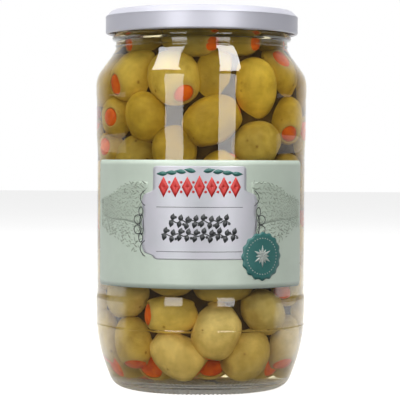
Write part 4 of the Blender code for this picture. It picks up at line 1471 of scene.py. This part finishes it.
def make_floor():
    """A plain pale floor, which isn't part of the jar, with painted shade: dark in front of the jar to all
    rays but the camera's.
    """
    mesh = bpy.data.meshes.new("floor")
    across = (-FLOOR_HALF, FLOOR_HALF, FLOOR_HALF, -FLOOR_HALF)
    back = (-FLOOR_HALF, -FLOOR_HALF, FLOOR_HALF, FLOOR_HALF)
    mesh.from_pydata([(x, y, FLOOR_DROP) for x, y in zip(across, back)], [], [(0, 1, 2, 3)])
    finish, shader, _ = node_material("floor_white")
    tint = ramp(finish, noise(finish, scale=3.0), FLOOR_TINTS)
    # Painted shade: the floor darkens in front of the jar for every ray but the camera's
    reach = mapped(finish, place_along(finish, "Y"), FLOOR_SHADE_FADE, FLOOR_SHADE_LEVEL, interpolation_type="SMOOTHSTEP")
    rays = add(finish, "ShaderNodeLightPath")
    unshaded = add(finish, "ShaderNodeMath", operation="MAXIMUM")
    link(finish, reach, unshaded.inputs[0])
    link(finish, rays.outputs["Is Camera Ray"], unshaded.inputs[1])
    seen = mixed(finish, unshaded.outputs["Value"], (0.0, 0.0, 0.0), WHITE)
    dimmed = multiplied(finish, seen, (FLOOR_DIFFUSE,) * 3)
    lit = mixed(finish, rays.outputs["Is Diffuse Ray"], seen, dimmed)
    link(finish, multiplied(finish, tint, lit), shader.inputs["Base Color"])
    link(finish, lit, shader.inputs["Emission Color"])
    shader.inputs["Roughness"].default_value = 1.0
    shader.inputs["Specular IOR Level"].default_value = 0.0
    shader.inputs["Emission Strength"].default_value = FLOOR_GLOW
    mesh.materials.append(finish)
    floor = new_object("floor", mesh)


def way_to(azimuth, elevation):
    """The way to a light by its degrees round from -Y and up, then across and up in its plane."""
    a, e = math.radians(azimuth), math.radians(elevation)
    way = Vector((math.sin(a) * math.cos(e), -math.cos(a) * math.cos(e), math.sin(e)))
    across = Vector((math.cos(a), math.sin(a), 0.0))
    return way, across, way.cross(across)


def make_mirrored():
    """Bright panels that show only as highlights."""
    for name, azimuth, elevation, distance, roll, corners, radiance in MIRRORED:
        way, across, up = way_to(azimuth, elevation)
        turn = math.radians(roll)
        right = across * math.cos(turn) + up * math.sin(turn)
        rise = up * math.cos(turn) - across * math.sin(turn)
        middle = Vector((0.0, 0.0, MIRROR_BASE)) + way * distance
        mesh = bpy.data.meshes.new(name)
        mesh.from_pydata([middle + right * u + rise * v for u, v in corners], [], [(0, 1, 2, 3)])
        finish, shader, output = node_material(name)
        finish.node_tree.nodes.remove(shader)
        glow = add(finish, "ShaderNodeEmission", Strength=radiance)
        link(finish, glow.outputs["Emission"], output.inputs["Surface"])
        mesh.materials.append(finish)
        panel = new_object(name, mesh)
        panel.visible_camera = False
        panel.visible_diffuse = False
        panel.visible_transmission = False
        panel.visible_shadow = False


def make_fills():
    for name, azimuth, elevation, wide, high, radiance in FILLS:
        way, _, _ = way_to(azimuth, elevation)
        light = bpy.data.lights.new(name, "AREA")
        light.shape = "RECTANGLE"
        light.size = wide
        light.size_y = high
        light.energy = radiance * math.pi * wide * high
        lamp = new_object(name, light)
        lamp.location = Vector((0.0, 0.0, JAR_MIDDLE)) + way * FILL_DISTANCE
        lamp.rotation_mode = "QUATERNION"
        lamp.rotation_quaternion = way.to_track_quat("Z", "Y")
        lamp.visible_glossy = False
        lamp.visible_transmission = False


def make_world():
    """White all round, but darker on the camera's side for what the glass mirrors."""
    world = bpy.data.worlds.new("studio")
    bpy.context.scene.world = world
    world.use_nodes = True
    background = world.node_tree.nodes["Background"]
    split = add(world, "ShaderNodeSeparateXYZ")
    link(world, add(world, "ShaderNodeTexCoord").outputs["Generated"], split.inputs["Vector"])
    smooth = {"interpolation_type": "SMOOTHSTEP"}
    fade = mapped(world, split.outputs["Y"], WORLD_FADE, WORLD_FRONT, WORLD_BACK, **smooth)
    strength = add(world, "ShaderNodeMix", data_type="FLOAT")
    link(world, add(world, "ShaderNodeLightPath").outputs["Is Camera Ray"], strength.inputs["Factor"])
    link(world, fade, strength.inputs["A"])
    strength.inputs["B"].default_value = WORLD_BACK
    background.inputs["Color"].default_value = (*WHITE, 1.0)
    link(world, strength.outputs["Result"], background.inputs["Strength"])


def make_camera():
    camera = bpy.data.cameras.new("camera")
    camera.sensor_width = SENSOR
    camera.lens = SENSOR * PIXELS_PER_RADIAN / PICTURE_SIDE
    eye = new_object("camera", camera)
    eye.location = (0.0, -CAMERA_DISTANCE, CAMERA_HEIGHT)
    tilt = Matrix.Rotation(math.radians(90.0 - CAMERA_TILT), 4, "X")
    pan = Matrix.Rotation(math.atan((AXIS_PIXEL - PICTURE_SIDE / 2) / PIXELS_PER_RADIAN), 4, "Z")
    roll = Matrix.Rotation(math.radians(CAMERA_ROLL), 4, "Z")
    eye.rotation_mode = "QUATERNION"
    eye.rotation_quaternion = (pan @ tilt @ roll).to_quaternion()
    bpy.context.scene.camera = eye
    bpy.context.scene.view_settings.view_transform = "Standard"


make_camera()
make_world()
make_mirrored()
make_fills()
make_floor()
make_glass()
make_brine()
make_heap_shade_core()
make_olives()
make_lid()
make_label()
make_plaque()
make_dark_ink()
make_red_ink()
make_green_ink()
make_seal()
make_leaf_print()
